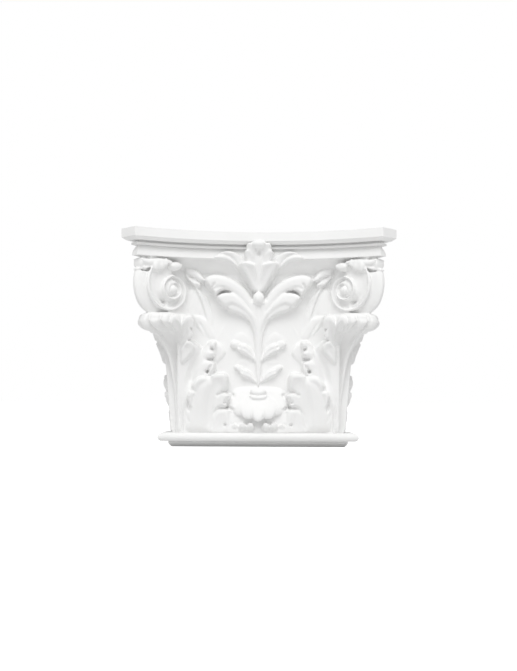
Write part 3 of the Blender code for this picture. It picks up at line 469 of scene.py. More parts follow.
faceLeaves = [
    # web beside the volute
    (-50, -0.5, 4.5, 8, 3.5, 0,
     [(-75.5, 148.5), (-68.5, 151.5), (-64, 146.5), (-60, 138), (-56, 127.5), (-51.5, 114), (-61, 118),
      (-71.5, 122), (-80.5, 124.5), (-78.5, 137)]),
    # upper stem lobe
    (100, 7, 10.5, 3, 2.5, 0,
     [(-79, 171.5), (-75.5, 173.5), (-69, 170.5), (-63.5, 167.5), (-59.5, 163), (-57, 158.5), (-60.5, 157),
      (-65.5, 159.5), (-70.5, 162.5), (-76, 164.5)]),
    # lower stem lobe
    (100, 5, 8.5, 3, 2.5, 0,
     [(-81, 168), (-77, 165.5), (-72, 162), (-67.5, 160), (-63.5, 157), (-60.5, 154.5), (-61.5, 151),
      (-65.5, 152), (-69, 153.5), (-74.5, 158.5)]),
    # stem
    (0, 0.5, 4.5, 4, 2.5, 0,
     [(-67.5, 153), (-62, 154), (-60, 147.5), (-54.5, 142.5), (-51, 134), (-48.5, 125.5), (-47, 114),
      (-45.5, 99.5), (-50.5, 94.5), (-52.5, 106), (-55, 118), (-59, 132), (-63, 142)],
     [([(-82, 168), (-76, 161), (-70.5, 156.5), (-66.5, 151.5), (-62, 143.5), (-58.5, 134), (-54.5, 121.5),
        (-51.5, 108)], 1.3, -1.6),
      ([(-55, 141.5), (-51.5, 134), (-49, 125.5), (-47.5, 114)], 1.2, -1.2),
      ([(-57, 138.5), (-53, 131.5), (-50.5, 121.5)], 1, 1.4),
      ([(-65, 153.5), (-62.5, 151), (-61.5, 148.5)], 1.2, 2.5),
      ([(-61, 147.5), (-58, 145), (-54.5, 142.5)], 1.2, 3)]),
    # calyx leaf
    (-30, 1, 3.5, 4, 1.5, 0,
     [(-70.5, 123), (-62, 121.5), (-54.5, 117.5), (-48.5, 110.5), (-44, 102.5), (-46, 95.5), (-53.5, 96.5),
      (-61, 104.5), (-67, 114)],
     [([(-62, 114), (-57, 105.5), (-52, 96.5)], 1.5, 1.4)]),
    # calyx tip
    (0, 0.4, 0.9, 4, 0.8, 0,
     [(-47, 92.5), (-41.5, 105), (-33.5, 115), (-35.5, 107), (-39.5, 97.5), (-43, 90)]),
    # hook of the upper leaf
    (-52, 5, 17, 5, 3.5, 0,
     [(0.5, 90.5), (-3.5, 106), (-7.5, 118.5), (-12, 128), (-19.5, 138), (-28.5, 145.5), (-35, 147.5),
      (-40.5, 145.5), (-44.5, 140.5), (-49.5, 146.5), (-54.5, 152.5), (-56, 158), (-52, 162),
      (-44.5, 163.5), (-34, 161.5), (-23.5, 157), (-13.5, 149), (-6, 138.5), (0.5, 135)],
     [([(-55, 155), (-52, 149), (-48, 145), (-44, 140)], 1.6, 6),
      ([(-46, 154.5), (-48, 150.5), (-49, 146.5)], 1.3, 4),
      ([(-46.5, 148), (-41.5, 150.5), (-34, 150)], 2.2, 1.5)]),
    # roll under the upper leaf
    (-50, 4.5, 10, 2.5, 1.8, 0,
     [(-0.5, 88.5), (-5, 103), (-8.5, 113.5), (-13.5, 119.5), (-21, 124), (-30.5, 127), (-33.5, 130.5),
      (-31, 134), (-23.5, 134), (-15, 129), (-9, 119.5), (-4.5, 108), (-1, 95.5)],
     [],
     [(-31, 133, 1.5, 3)]),
    # lower lobe of the upper leaf
    (-60, 6, 15, 4, 3, 0,
     [(0, 90.5), (-3, 103), (-7, 114.5), (-11.5, 122), (-18.5, 128), (-27.5, 132.5), (-34, 130.5),
      (-39, 133.5), (-43.5, 139), (-41, 143), (-34, 145), (-27, 145), (-17.5, 138.5), (-9, 129),
      (-0.5, 118.5)],
     [([(-44.5, 140.5), (-40.5, 145), (-35, 147), (-28.5, 145.5)], 1.7, 6)]),
    # faint lobe over the upper sprig
    (0, 0.6, 1.4, 6, 1, 0,
     [(-28.5, 95.5), (-24.5, 101.5), (-17, 104.5), (-10, 100), (-5.5, 92.5), (-13, 90.5)]),
    # tip of the upper sprig
    (-60, 4, 7.5, 2.5, 2, 0,
     [(-29, 92), (-27, 94.5), (-23, 95), (-19, 93), (-18.5, 90), (-21, 87), (-25, 87.5), (-28, 89)]),
    # upper sprig
    (-50, 3, 8.5, 3, 2.5, 0,
     [(-20, 90.5), (-16, 92), (-10, 88.5), (-5, 82), (-1, 73.5), (0.5, 68.5), (-4.5, 73.5), (-10, 78),
      (-16.5, 82), (-21.5, 85), (-21.5, 88.5)],
     [([(-28.5, 88), (-22.5, 84), (-16.5, 81), (-9.5, 77), (-2.5, 71)], 1.8, 4),
      ([(-17.5, 88), (-11.5, 85), (-6, 78.5)], 1.2, 1.4)],
     [(-20, 88.5, 1.5, 4)]),
    # faint lobe over the lower sprig
    (0, 0.5, 1.2, 5, 1, 0,
     [(-24, 70.5), (-20, 75.5), (-13, 76), (-7.5, 70.5), (-13, 68.5)]),
    # tip of the lower sprig
    (-60, 4, 7, 2.5, 2, 0,
     [(-25, 67.5), (-23, 69.5), (-18.5, 68.5), (-15.5, 66), (-16.5, 62.5), (-19, 61.5), (-22.5, 63.5)]),
    # lower sprig
    (-50, 3, 8, 3, 2.5, 0,
     [(-17, 65.5), (-12.5, 65), (-7, 61), (-2, 54), (0.5, 49), (-4, 51.5), (-11.5, 56), (-18, 59),
      (-19, 62)],
     [([(-24.5, 65), (-19, 59), (-11.5, 55), (-4.5, 51), (-1.5, 49)], 1.8, 4),
      ([(-15, 62.5), (-9.5, 60), (-5, 55)], 1.1, 1.2)],
     [(-17, 63, 1.2, 3)]),
    # arm of the fleuron
    (-45, 7, 19, 2.5, 1.2, 0.8,
     [(-47.5, 180.5), (-42.5, 184), (-37.5, 187), (-30, 188), (-24, 186.5), (-18.5, 183), (-12.5, 177),
      (-9, 168.5), (-9, 154), (-13.5, 157), (-19, 167.5), (-26, 174), (-33, 178), (-41.5, 179.5)],
     [([(-44.5, 181.5), (-37.5, 184.5), (-30, 182.5), (-24, 176.5), (-16.5, 164.5)], 1.5, 2.2)]),
    # foot of the fleuron
    (0, 8, 15, 4, 3, 0,
     [(2.5, 145.5), (-6, 147), (-10, 153), (-13.5, 160), (-16, 167.5), (-18.5, 174), (-12.5, 179),
      (2, 181.5)],
     [([(-14.5, 166), (-12, 163), (-9, 159.5)], 1.3, 2.5)],
     [(-11, 155.5, 1.3, 2)]),
    # side petal of the fleuron
    (-30, 15, 23, 2.5, 2, 1,
     [(-12.5, 177), (-14.5, 183.5), (-14.5, 187), (-12, 189), (-8.5, 187.5), (-4, 181.5), (-5, 175)]),
    # upper petal of the fleuron
    (-15, 15, 24, 2.5, 2, 1,
     [(-9, 177), (-12.5, 189.5), (-12.5, 193.5), (-10.5, 196), (-7, 195), (-3, 187.5), (-1, 177)]),
    # middle petal of the fleuron
    (0, 10.5, 21, 4, 2, 0,
     [(-5, 147.5), (-5.5, 168.5), (-4.5, 181.5), (-3, 190.5), (2.5, 192), (3, 148)],
     [([(2.5, 189.5), (1.5, 182.5)], 5, 6)]),
    # front petal of the fleuron
    (-20, 9.5, 24, 3, 2.2, 1.8,
     [(-0.5, 147.5), (-6, 149), (-10.5, 157), (-15.5, 165.5), (-19, 171.5), (-18.5, 175), (-15.5, 176.5),
      (-10.5, 176), (-4.5, 174), (-2, 168.5), (0, 158)],
     [([(-3.5, 173), (-2, 162.5), (-0.5, 150)], 1.4, 2.5)]),
    # foot of the corner leaf
    (0, 5, 13, 9, 3.5, 0,
     [(-93, 0), (-91, 33), (-93.5, 64), (-89.5, 90), (-75, 97.5), (-60.5, 89), (-53.5, 83), (-54.5, 69.5),
      (-60.5, 48.5), (-68.5, 33), (-76.5, 17.5), (-76.5, 0)]),
    # back lobe
    (30, 1.5, 4, 4, 2, 0,
     [(-48, 91), (-41, 93), (-35, 85), (-36, 79), (-42, 72.5), (-48, 68.5)]),
    # middle leaf
    (15, 6, 14.5, 5, 3.5, 0,
     [(-71.5, 41.5), (-70.5, 54), (-67.5, 66.5), (-62.5, 77.5), (-57.5, 88), (-52.5, 93.5), (-47.5, 95),
      (-44.5, 93), (-46, 87), (-48, 83), (-53.5, 79), (-55.5, 68.5), (-56, 54), (-62.5, 43.5)],
     [([(-48.5, 94), (-57.5, 86), (-64, 74.5), (-68.5, 63), (-71.5, 46.5)], 6, 5)],
     [(-48.5, 86.5, 2, 9)]),
    # its first lobe
    (75, 8, 15, 3, 2.6, 0,
     [(-57.5, 84.5), (-52.5, 85), (-47, 83.5), (-46.5, 80.5), (-50.5, 77.5), (-56.5, 76), (-60.5, 74.5)]),
    # its second lobe
    (60, 6, 14.5, 4, 3, 0,
     [(-60.5, 72), (-54.5, 74.5), (-47.5, 73), (-45.5, 68.5), (-47, 62.5), (-51.5, 58), (-60.5, 52),
      (-66.5, 43.5), (-65.5, 60)],
     [([(-53.5, 62.5), (-48.5, 70)], 1.5, 3.5)],
     [(-53, 63, 2, 8)]),
    # edge leaflet
    (10, 14, 23, 3, 2, 1.5,
     [(-74.5, 94.5), (-70, 94), (-66, 89), (-67, 83), (-72, 77.5), (-79, 71), (-81.5, 78.5), (-80, 86)],
     [([(-80.5, 83.5), (-80.5, 75.5)], 1.1, 3),
      ([(-73, 95.5), (-70.5, 95.5)], 1.5, 4)],
     [(-75, 87.5, 1.2, 1.5)]),
    # lower leaf
    (0, 4.5, 15, 11, 5, 0,
     [(-80.5, -1), (-78.5, 17.5), (-74, 30), (-70.5, 42.5), (-63.5, 54), (-50, 58), (-37.5, 58),
      (-34.5, 45.5), (-34.5, 33.5), (-33, 21), (-31, -0.5)],
     [([(-45.5, 54), (-49, 36.5), (-50.5, 21), (-50, 2.5)], 7, 2.2)]),
    # its first left lobe
    (-35, 8.5, 16.5, 4.5, 3, 1.5,
     [(-69, 48), (-66.5, 52.5), (-62.5, 56), (-57.5, 58), (-52.5, 57), (-50, 53), (-51, 45.5), (-56, 39.5),
      (-65.5, 40.5)]),
    # its second left lobe
    (-60, 6.5, 14, 3, 2.5, 1.5,
     [(-73.5, 38.5), (-71, 42.5), (-66.5, 43), (-61.5, 40.5), (-60, 35.5), (-61, 29), (-66.5, 24),
      (-72, 28)],
     [([(-73, 33.5), (-72.5, 28), (-72, 21.5)], 1.2, 5)],
     [(-72.5, 39.5, 1.1, 1.8), (-72, 35.5, 1.1, 1.8)]),
    # its first right lobe
    (20, 9, 18, 4.5, 3, 1.2,
     [(-50, 55), (-48.5, 59), (-43, 61), (-35, 60.5), (-32, 55), (-32.5, 45.5), (-38.5, 41.5), (-43, 38.5),
      (-51, 41.5)]),
    # its second right lobe
    (75, 7.5, 16.5, 3.5, 3, 0.8,
     [(-48, 31), (-42.5, 38), (-36, 41), (-29.5, 38), (-32, 33), (-33.5, 27.5), (-40.5, 26), (-47.5, 21)],
     [([(-43, 38.5), (-38.5, 41), (-32, 44.5)], 1.5, 3.5),
      ([(-33, 33), (-30, 37.5)], 1.2, 2)],
     [(-34.5, 31, 1.7, 4.5)]),
    # its third right lobe
    (60, 6, 12.5, 4, 3, 0.8,
     [(-48.5, 8.5), (-46, 18.5), (-42, 23), (-37.5, 24.5), (-31.5, 23), (-29.5, 13), (-29.5, -0.5),
      (-50.5, -0.5)],
     [([(-46.5, 18.5), (-42.5, 24), (-37.5, 25.5), (-32, 25)], 1.4, 2)],
     [(-34, 8, 1.6, 4)]),
    # foot crease
    (0, -1, -1, 2, 0, 0,
     [(-74.5, 2.5), (-76.5, 8.5), (-75.5, 16.5), (-72.5, 11.5), (-70, 2.5)],
     [([(-75, 19.5), (-73.5, 14.5), (-71, 10.5)], 1.1, 1.3),
      ([(-80.5, 35), (-79, 14.5), (-75.5, 2.5)], 1.8, 1.2)]),
    # wall under the curled leaf
    (0, 10, 7, 3, 1, 0,
     [(-31, -0.5), (-31, 24), (-13.5, 24), (4, 24.5), (4, -0.5)],
     [],
     [(-26.5, 8, 1.5, 3)]),
    # back of the curled leaf
    (180, 2, 13, 8, 3.5, 0,
     [(-31, 22), (-30.5, 33.5), (-28.5, 41.5), (-24, 47), (-16, 49), (-6.5, 49.5), (4, 49.5), (4, 20),
      (-13.5, 20), (-22, 20.5)],
     [([(-33.5, 34), (-31.5, 37), (-29.5, 41.5)], 1, 2),
      ([(-30, 26.5), (-26.5, 23.5), (-21.5, 21)], 1.8, 6)],
     [(-26, 46.5, 1.3, 1.6), (-26.5, 38.5, 1.8, 5)]),
]

gridStep = 0.6  # parts between the relief's points
cliffSlope = 12  # how steeply a leaf's edge drops
reliefRounds = 2  # times that the heights are evened out
gridX, gridZ = np.meshgrid(np.arange(-84, 1.5, gridStep), np.arange(-3, 203, gridStep))


# Slices of the grid around the points.
def window(points, margin):
    low, high = np.min(points, axis=0) - margin, np.max(points, axis=0) + margin
    rows = np.searchsorted(gridZ[:, 0], (low[1], high[1]))
    columns = np.searchsorted(gridX[0], (low[0], high[0]))
    return slice(*rows), slice(*columns)


# Distance of the grid's points from an open line, and their place along it from 0 to 1.
def lineDistance(curve, where):
    x, z = gridX[where], gridZ[where]
    nearest = np.full(x.shape, np.inf)
    along = np.zeros(x.shape)
    for k, (a, b) in enumerate(zip(curve, curve[1:])):
        step = b - a
        share = np.clip(((x - a[0]) * step[0] + (z - a[1]) * step[1]) / max(step @ step, 1e-12), 0, 1)
        away = np.hypot(x - a[0] - share * step[0], z - a[1] - share * step[1])
        along = np.where(away < nearest, (k + share) / (len(curve) - 1), along)
        nearest = np.minimum(nearest, away)
    return nearest, along


# Which of the grid's points lie inside a closed line.
def within(curve, where):
    x, z = gridX[where], gridZ[where]
    inside = np.zeros(x.shape, dtype=bool)
    for a, b in zip(curve, curve[1:]):
        if a[1] != b[1]:
            crosses = (a[1] > z) != (b[1] > z)
            inside ^= crosses & (x < a[0] + (z - a[1]) * (b[0] - a[0]) / (b[1] - a[1]))
    return inside


def softStep(t):
    t = np.clip(t, 0, 1)
    return t * t * (3 - 2 * t)


# Raise one leaf with a rounded edge on the heights, then cut its grooves and pits.
def raiseLeaf(height, toward, low, high, edge, rounding, hollow, outline, cuts=(), pits=()):
    knots = np.array(list(outline) + [outline[0]], dtype=float)
    curve = smoothPath(knots, np.linspace(0, 1, 6 * len(knots)))
    where = window(curve, 4)
    depth = lineDistance(curve, where)[0] * np.where(within(curve, where), 1, -1)
    lean = np.array([math.sin(math.radians(toward)), math.cos(math.radians(toward))])
    spread = knots @ lean
    share = (gridX[where] * lean[0] + gridZ[where] * lean[1] - spread.min()) / np.ptp(spread)
    top = low + (high - low) * np.clip(share, 0, 1) ** 1.3
    top -= rounding * (1 - np.clip(depth / edge, 0, 1)) ** 2 + hollow * softStep((depth / edge - 0.5) / 2)
    height[where] = np.maximum(height[where], top + cliffSlope * np.minimum(depth, 0))
    for line, width, deep in cuts:
        curve = smoothPath(line, np.linspace(0, 1, 6 * len(line)))
        where = window(curve, width)
        away, along = lineDistance(curve, where)
        section = np.clip(1 - (away / width) ** 2, 0, 1) ** 1.5
        height[where] -= deep * section * np.clip(np.minimum(along, 1 - along) * 6 + 0.3, 0, 1)
    for x, z, radius, deep in pits:
        where = window([(x, z)], 2 * radius)
        away = np.hypot(gridX[where] - x, gridZ[where] - z)
        height[where] -= deep * np.clip(1.35 - away / radius, 0, 1)


# Closed slab under the carved heights of the front face's left half.
def faceRelief():
    height = np.full(gridX.shape, -1.0)
    for leaf in faceLeaves:
        raiseLeaf(height, *leaf)
    for turn in range(reliefRounds):
        padded = np.pad(height, 1, mode="edge")
        height = (2 * height + padded[:-2, 1:-1] + padded[2:, 1:-1] + padded[1:-1, :-2]
                  + padded[1:-1, 2:]) / 6
    rings = []
    for x, z, lift in zip(gridX, gridZ, np.maximum(height, -1.5)):
        top = [face(a, b, c) for a, b, c in zip(x, z, lift)]
        bottom = [face(a, b, -bellSizes["sink"] / part) for a, b in zip(x[::-1], z[::-1])]
        rings.append(top + bottom)
    return [ringed(np.array(rings))]


# The whole piece

# Abacus in plan at an inset from its widest: side arc, horn, front arc, horn and side arc.
def outline(inset):
    size = abacusSizes
    halfChord = capitalWidth / 2 - size["hornChamfer"]
    radius = (halfChord ** 2 + size["arcHollow"] ** 2) / (2 * size["arcHollow"])
    centre = capitalDepth - size["arcHollow"] + radius
    reach = radius + inset
    skew = capitalWidth / 2 - capitalDepth
    past = centre - (capitalWidth / 2 + capitalDepth - size["hornChamfer"] - inset * math.sqrt(2))
    toChamfer = (math.sqrt(2 * reach ** 2 - past ** 2) - past) / 2
    toRidge = (centre + skew - math.sqrt(max(2 * reach ** 2 - (centre + skew) ** 2, 0))) / 2
    xHorn = min(toChamfer, toRidge - size["ridge"])
    across = np.linspace(-xHorn, xHorn, size["arcSteps"] + 1)
    front = [(x, centre - math.sqrt(reach ** 2 - x ** 2)) for x in across]
    side = [(math.sqrt(reach ** 2 - (w + skew) ** 2) - centre - skew, w)
            for w in np.linspace(-overrun, xHorn - skew, size["arcSteps"] // 2)]
    return side + front + [(-x, w) for x, w in reversed(side)]


# Neck or bell in plan, with its front corners cut across.
def rectangle(halfWidth, out, cornerCut=0.0):
    if cornerCut == 0.0:
        left = [(-halfWidth, -overrun), (-halfWidth, out)]
    else:
        left = [(-halfWidth, -overrun), (-halfWidth, out - cornerCut), (cornerCut - halfWidth, out)]
    return left + [(-x, w) for x, w in reversed(left)]


# Closed solid through plan outlines, each given as a height and its points.
def stacked(levels):
    return ringed(np.array([[(x, w, z) for x, w in plan] for z, plan in levels]))


# Slab, bevel, groove, fillet and cove, from the top down to the fascia's foot.
def abacus():
    size = abacusSizes
    steps = [(0, 0), (size["slabHeight"], 0), (size["bevelHeight"], size["bevelInset"]),
             (0, size["grooveInset"]), (size["grooveHeight"], size["grooveInset"]),
             (0, size["filletInset"]), (size["filletHeight"], size["filletInset"]), (0, size["coveInset"])]
    for step in range(size["coveSteps"]):
        turn = math.pi / 2 * (step + 1) / size["coveSteps"]
        inset = size["coveInset"] + (size["fasciaInset"] - size["coveInset"]) * math.sin(turn)
        steps.append((size["coveHeight"] / size["coveSteps"], inset))
    z = capitalHeight
    levels = []
    for drop, inset in steps:
        z -= drop
        levels.append((z, outline(inset)))
    return stacked(levels)


# Flare of the bell, from its own plan out to the foot of the fascia: rounded, but hollow at the horns.
def soffit():
    size = abacusSizes
    fasciaFoot = capitalHeight - abacusHeight
    rim = np.array(outline(size["fasciaInset"] + grain["voxel"]))
    core = np.column_stack([np.clip(rim[:, 0], -bellHalf, bellHalf), np.minimum(rim[:, 1], bellFace)])
    core -= np.sign(core) * grain["voxel"]
    overhang = np.linalg.norm(rim - core, axis=1)
    near, far = size["lipReach"]
    hollow = np.clip((overhang - near) / (far - near), 0, 1)[:, None]
    levels = [(fasciaFoot - size["soffitDrop"] - bellSizes["sink"], core)]
    for step in range(size["soffitSteps"] + 1):
        turn = math.pi / 2 * step / size["soffitSteps"]
        drop = size["soffitDrop"] * (1 - math.sin(turn))
        rounded = math.sin(size["lipTurn"] * max(1 - drop / size["lipDrop"], 0))
        lip = size["lipStart"] * rounded / math.sin(size["lipTurn"])
        plan = core + (rim - core) * ((1 - math.cos(turn)) * hollow + lip * (1 - hollow))
        levels.append((fasciaFoot - drop, plan))
    levels.append((fasciaFoot + bellSizes["sink"], core + (rim - core) * 0.8))
    return stacked(levels)


# Plain bell behind the carving, from inside the neck bead to inside the abacus.
def bell():
    plan = rectangle(bellHalf, bellFace, bellSizes["bellCorner"])
    top = capitalHeight - abacusHeight + bellSizes["sink"]
    return stacked([(neckMould - bellSizes["sink"], plan), (top, plan)])


# Cavetto, listel and round-nosed bead that the capital stands on.
def neck():
    size = neckSizes
    out = size["listelProjection"]
    beadFoot = size["cavettoHeight"] + size["listelHeight"]
    nose = size["beadHeight"] / 2
    levels = [(0, out - size["cavettoInset"]), (size["cavettoHeight"], out), (beadFoot, out)]
    for step in range(size["beadSteps"] + 1):
        turn = math.pi * (step / size["beadSteps"] - 0.5)
        past = size["beadProjection"] - nose * (1 - math.cos(turn))
        levels.append((beadFoot + nose + nose * math.sin(turn), past))
    return stacked([(z, rectangle(halfNeck + past, neckDepth + past)) for z, past in levels])


# Space behind the wall plane, cut away so that the back is flat.
def wallBlock():
    plan = [(-capitalWidth, -capitalDepth), (-capitalWidth, 0), (capitalWidth, 0),
            (capitalWidth, -capitalDepth)]
    return stacked([(-capitalHeight, plan), (2 * capitalHeight, plan)])


# Every petal of the carving, with the bell and the soffit that it grows from.
def carving():
    left = calyx() + cornerCore() + faceRelief() + cornerLeaf() + volute() + hornLeaf()
    left += [aroundCorner(solid) for solid in left]
    solids = left + [mirrored(solid) for solid in left]
    return solids + stalk() + seed() + cup() + curlingLeaf() + fleuron() + [bell(), soffit()]


# Meshes

# One mesh of closed solids in the capital's own frame, each facing out
def madeMesh(name, solids):
    points, faces = [], []
    for solidPoints, solidFaces in solids:
        placed = np.column_stack([solidPoints[:, 0], capitalDepth / 2 - solidPoints[:, 1], solidPoints[:, 2]])
        if signedVolume(placed, solidFaces) < 0:
            solidFaces = [f[::-1] for f in solidFaces]
        faces += [tuple(v + len(points) for v in f) for f in solidFaces]
        points += placed.tolist()
    mesh = bpy.data.meshes.new(name)
    mesh.from_pydata(points, [], faces)
    return mesh


def signedVolume(points, faces):
    corners = np.array([(f[0], f[i], f[i + 1]) for f in faces for i in range(1, len(f) - 1)])
    a, b, c = points[corners[:, 0]], points[corners[:, 1]], points[corners[:, 2]]
    return float(np.einsum("ij,ij->i", a, np.cross(b, c)).sum())


def addObject(name, mesh):
    item = bpy.data.objects.new(name, mesh)
    bpy.context.scene.collection.objects.link(item)
    return item


# The object's mesh with its modifiers carried out; the object itself goes
def settled(item):
    graph = bpy.context.evaluated_depsgraph_get()
    mesh = bpy.data.meshes.new_from_object(item.evaluated_get(graph))
    bpy.data.objects.remove(item)
    return mesh


# Delete every connected shell but the largest
def keepOuterShell(mesh):
    bm = bmesh.new()
    bm.from_mesh(mesh)
    bm.verts.ensure_lookup_table()
    seen = np.zeros(len(bm.verts), dtype=int)
    sizes = [0]
    for first in bm.verts:
        if seen[first.index]:
            continue
        mark = len(sizes)
        sizes.append(0)
        stack = [first]
        seen[first.index] = mark
        while stack:
            vert = stack.pop()
            sizes[mark] += 1
            for edge in vert.link_edges:
                near = edge.other_vert(vert)
                if not seen[near.index]:
                    seen[near.index] = mark
                    stack.append(near)
    largest = int(np.argmax(sizes))
    bmesh.ops.delete(bm, geom=[v for v in bm.verts if seen[v.index] != largest], context="VERTS")
    bm.to_mesh(mesh)
    bm.free()


# Finish

casting = {
    "colour": (0.88, 0.88, 0.875, 1.0),
    "shade": (0.80, 0.80, 0.79, 1.0),  # where the white lies thin
    "roughness": 0.62,
    "grainScale": 900.0,  # fine tooth of the cast surface
    "patchScale": 22.0,
    "grainBump": 0.12,
    "grainDepth": 0.0003,
    "grainDetail": 3.0,
    "patchDetail": 5.0,
    "patchSpan": (0.35, 0.75),  # noise between which the shade comes in
    "patchAmount": 0.35,
    "roughnessSpread": (-0.06, 0.08),
    "ior": 1.45,
}


# Matt white casting with a fine tooth and faint patches
def whiteCasting(settings):
    material = bpy.data.materials.new("white casting")
    material.use_nodes = True
    nodes, links = material.node_tree.nodes, material.node_tree.links
    shader = nodes["Principled BSDF"]
    shader.inputs["IOR"].default_value = settings["ior"]
    place = nodes.new("ShaderNodeTexCoord")
    tooth = nodes.new("ShaderNodeTexNoise")
    tooth.inputs["Scale"].default_value = settings["grainScale"]
    tooth.inputs["Detail"].default_value = settings["grainDetail"]
    patch = nodes.new("ShaderNodeTexNoise")
    patch.inputs["Scale"].default_value = settings["patchScale"]
    patch.inputs["Detail"].default_value = settings["patchDetail"]
    links.new(place.outputs["Object"], tooth.inputs["Vector"])
    links.new(place.outputs["Object"], patch.inputs["Vector"])
    blend = nodes.new("ShaderNodeMix")
    blend.data_type = "RGBA"
    blend.inputs["A"].default_value = settings["colour"]
    blend.inputs["B"].default_value = settings["shade"]
    spread = nodes.new("ShaderNodeMapRange")
    spread.inputs["From Min"].default_value = settings["patchSpan"][0]
    spread.inputs["From Max"].default_value = settings["patchSpan"][1]
    spread.inputs["To Max"].default_value = settings["patchAmount"]
    links.new(patch.outputs["Fac"], spread.inputs["Value"])
    links.new(spread.outputs["Result"], blend.inputs["Factor"])
    links.new(blend.outputs["Result"], shader.inputs["Base Color"])
    rough = nodes.new("ShaderNodeMapRange")
    rough.inputs["To Min"].default_value = settings["roughness"] + settings["roughnessSpread"][0]
    rough.inputs["To Max"].default_value = settings["roughness"] + settings["roughnessSpread"][1]
    links.new(tooth.outputs["Fac"], rough.inputs["Value"])
    links.new(rough.outputs["Result"], shader.inputs["Roughness"])
    bump = nodes.new("ShaderNodeBump")
    bump.inputs["Strength"].default_value = settings["grainBump"]
    bump.inputs["Distance"].default_value = settings["grainDepth"]
    links.new(tooth.outputs["Fac"], bump.inputs["Height"])
    links.new(bump.outputs["Normal"], shader.inputs["Normal"])
    return material


skinWork = {
    "smoothing": 2,
    "softness": 0.5,
    "triangles": 170000,
    "moulding": 1,  # material place that marks the run mouldings
    "crispAngle": 24.0,
}


# The carving fused into one skin and thinned
def carvedSkin():
    raw = addObject("carvedRaw", madeMesh("carvedRaw", carving()))
    print("carving forms made", len(raw.data.polygons))
    fuse = raw.modifiers.new("fuse", "REMESH")
    fuse.mode = "VOXEL"
    fuse.voxel_size = grain["voxel"]
    skin = settled(raw)
    keepOuterShell(skin)
    dense = addObject("carvedSkin", skin)
    print("carving fused", len(skin.polygons))
    soften = dense.modifiers.new("soften", "SMOOTH")
    soften.factor = skinWork["softness"]
    soften.iterations = skinWork["smoothing"]
    thin = dense.modifiers.new("thin", "DECIMATE")
    thin.ratio = min(1.0, skinWork["triangles"] / (2 * len(skin.polygons)))
    return settled(dense)


# Carving, abacus and neck in one closed mesh, cut flat at the wall
def wholeCasting():
    capital = addObject("capitalCast", carvedSkin())
    tags = [bpy.data.materials.new("carved"), bpy.data.materials.new("moulded")]
    for tag in tags:
        capital.data.materials.append(tag)
    steps = []
    for name, solid, operation in (("abacusRun", abacus(), "UNION"), ("neckRun", neck(), "UNION"),
                                   ("wallPlane", wallBlock(), "DIFFERENCE")):
        other = addObject(name, madeMesh(name, [solid]))
        for tag in tags:
            other.data.materials.append(tag)
        other.data.polygons.foreach_set("material_index", [skinWork["moulding"]] * len(other.data.polygons))
        steps.append(other)
        step = capital.modifiers.new(name, "BOOLEAN")
        step.operation = operation
        step.object = other
        step.solver = "MANIFOLD"
    mesh = settled(capital)
    for other in steps:
        bpy.data.objects.remove(other)
    keepOuterShell(mesh)
    crisp = math.radians(skinWork["crispAngle"])
    bm = bmesh.new()
    bm.from_mesh(mesh)
    for face in bm.faces:
        face.smooth = True
    for edge in bm.edges:
        moulded = any(face.material_index == skinWork["moulding"] for face in edge.link_faces)
        edge.smooth = not (moulded and edge.calc_face_angle(0.0) > crisp)
    for face in bm.faces:
        face.material_index = 0
    bm.to_mesh(mesh)
    bm.free()
    mesh.materials.clear()
    return addObject("capital_casting", mesh)


capital = wholeCasting()
capital.data.materials.append(whiteCasting(casting))
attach(capital, "root")
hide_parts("capital")
print("capital made", len(capital.data.polygons))


# Floor, light and camera

studio = {
    "floorSize": 60.0,
    "floorColour": (0.78, 0.78, 0.78, 1.0),
    "floorGlow": 0.03,
    "floorRoughness": 0.95,
    "floorSeen": 0.85,  # glow toward the camera alone
    "backdrop": 1.0,
    "fill": 0.58,
    "lights": [
        # place, aim, size, power, name
        ((-0.477, -1.467, 1.958), (0.0, 0.0, 0.12), 1.2, 18.0, "leftSoftbox"),
        ((0.477, -1.467, 1.958), (0.0, 0.0, 0.12), 1.2, 15.0, "rightSoftbox"),
    ],
}

camera = {
    "place": (-0.00217114, -1.055, 0.04657014),
    "yaw": 0.00204835,
    "pitch": 0.0658546,
    "roll": 0.00450751,
    "lens": 1006.53124 / 671 * 36,  # the frame's long side is 671 pixels
}


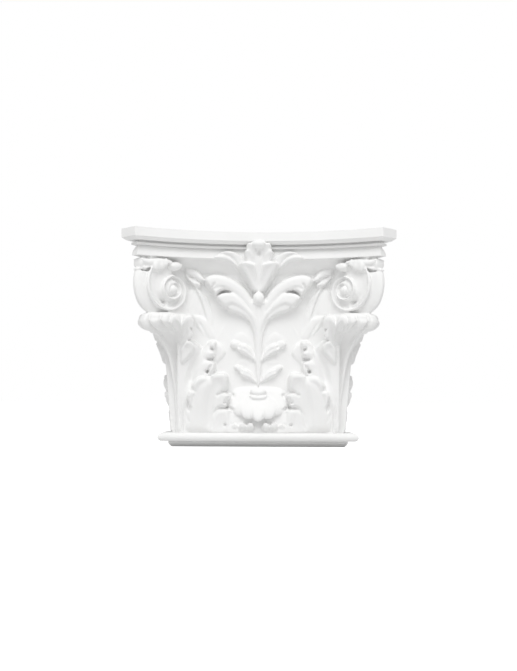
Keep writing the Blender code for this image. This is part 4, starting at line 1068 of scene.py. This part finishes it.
def makeStudio(settings):
    bpy.ops.mesh.primitive_plane_add(size=settings["floorSize"])
    floor = bpy.context.object
    floor.name = "floor"
    paper = bpy.data.materials.new("pale floor")
    paper.use_nodes = True
    shader = paper.node_tree.nodes["Principled BSDF"]
    shader.inputs["Base Color"].default_value = settings["floorColour"]
    shader.inputs["Roughness"].default_value = settings["floorRoughness"]
    shader.inputs["Emission Color"].default_value = (1.0, 1.0, 1.0, 1.0)
    eye = paper.node_tree.nodes.new("ShaderNodeLightPath")
    glow = paper.node_tree.nodes.new("ShaderNodeMapRange")
    glow.inputs["To Min"].default_value = settings["floorGlow"]
    glow.inputs["To Max"].default_value = settings["floorSeen"]
    paper.node_tree.links.new(eye.outputs["Is Camera Ray"], glow.inputs["Value"])
    paper.node_tree.links.new(glow.outputs["Result"], shader.inputs["Emission Strength"])
    floor.data.materials.append(paper)
    world = bpy.data.worlds.new("studio")
    bpy.context.scene.world = world
    world.use_nodes = True
    nodes, links = world.node_tree.nodes, world.node_tree.links
    lit = nodes["Background"]
    lit.inputs["Color"].default_value = (1.0, 1.0, 1.0, 1.0)
    lit.inputs["Strength"].default_value = settings["fill"]
    seen = nodes.new("ShaderNodeBackground")
    seen.inputs["Color"].default_value = (1.0, 1.0, 1.0, 1.0)
    seen.inputs["Strength"].default_value = settings["backdrop"]
    path = nodes.new("ShaderNodeLightPath")
    pick = nodes.new("ShaderNodeMixShader")
    links.new(path.outputs["Is Camera Ray"], pick.inputs["Fac"])
    links.new(lit.outputs["Background"], pick.inputs[1])
    links.new(seen.outputs["Background"], pick.inputs[2])
    links.new(pick.outputs["Shader"], nodes["World Output"].inputs["Surface"])
    for place, aim, size, power, name in settings["lights"]:
        data = bpy.data.lights.new(name, "AREA")
        data.size = size
        data.energy = power
        lamp = bpy.data.objects.new(name, data)
        bpy.context.scene.collection.objects.link(lamp)
        lamp.location = place
        lamp.rotation_euler = (Vector(aim) - Vector(place)).to_track_quat("-Z", "Y").to_euler()


def makeCamera(settings):
    data = bpy.data.cameras.new("camera")
    item = bpy.data.objects.new("camera", data)
    bpy.context.scene.collection.objects.link(item)
    yaw, pitch, roll = settings["yaw"], settings["pitch"], settings["roll"]
    ahead = Vector((math.sin(yaw) * math.cos(pitch), math.cos(yaw) * math.cos(pitch), math.sin(pitch)))
    right = Vector((math.cos(yaw), -math.sin(yaw), 0.0))
    up = right.cross(ahead)
    tiltedRight = right * math.cos(roll) + up * math.sin(roll)
    tiltedUp = up * math.cos(roll) - right * math.sin(roll)
    turn = Matrix((tiltedRight, tiltedUp, -ahead)).transposed().to_4x4()
    item.matrix_world = Matrix.Translation(settings["place"]) @ turn
    data.sensor_width = 36.0
    data.lens = settings["lens"]
    bpy.context.scene.camera = item


makeStudio(studio)
makeCamera(camera)
bpy.context.scene.view_settings.view_transform = "Standard"
print("studio made")
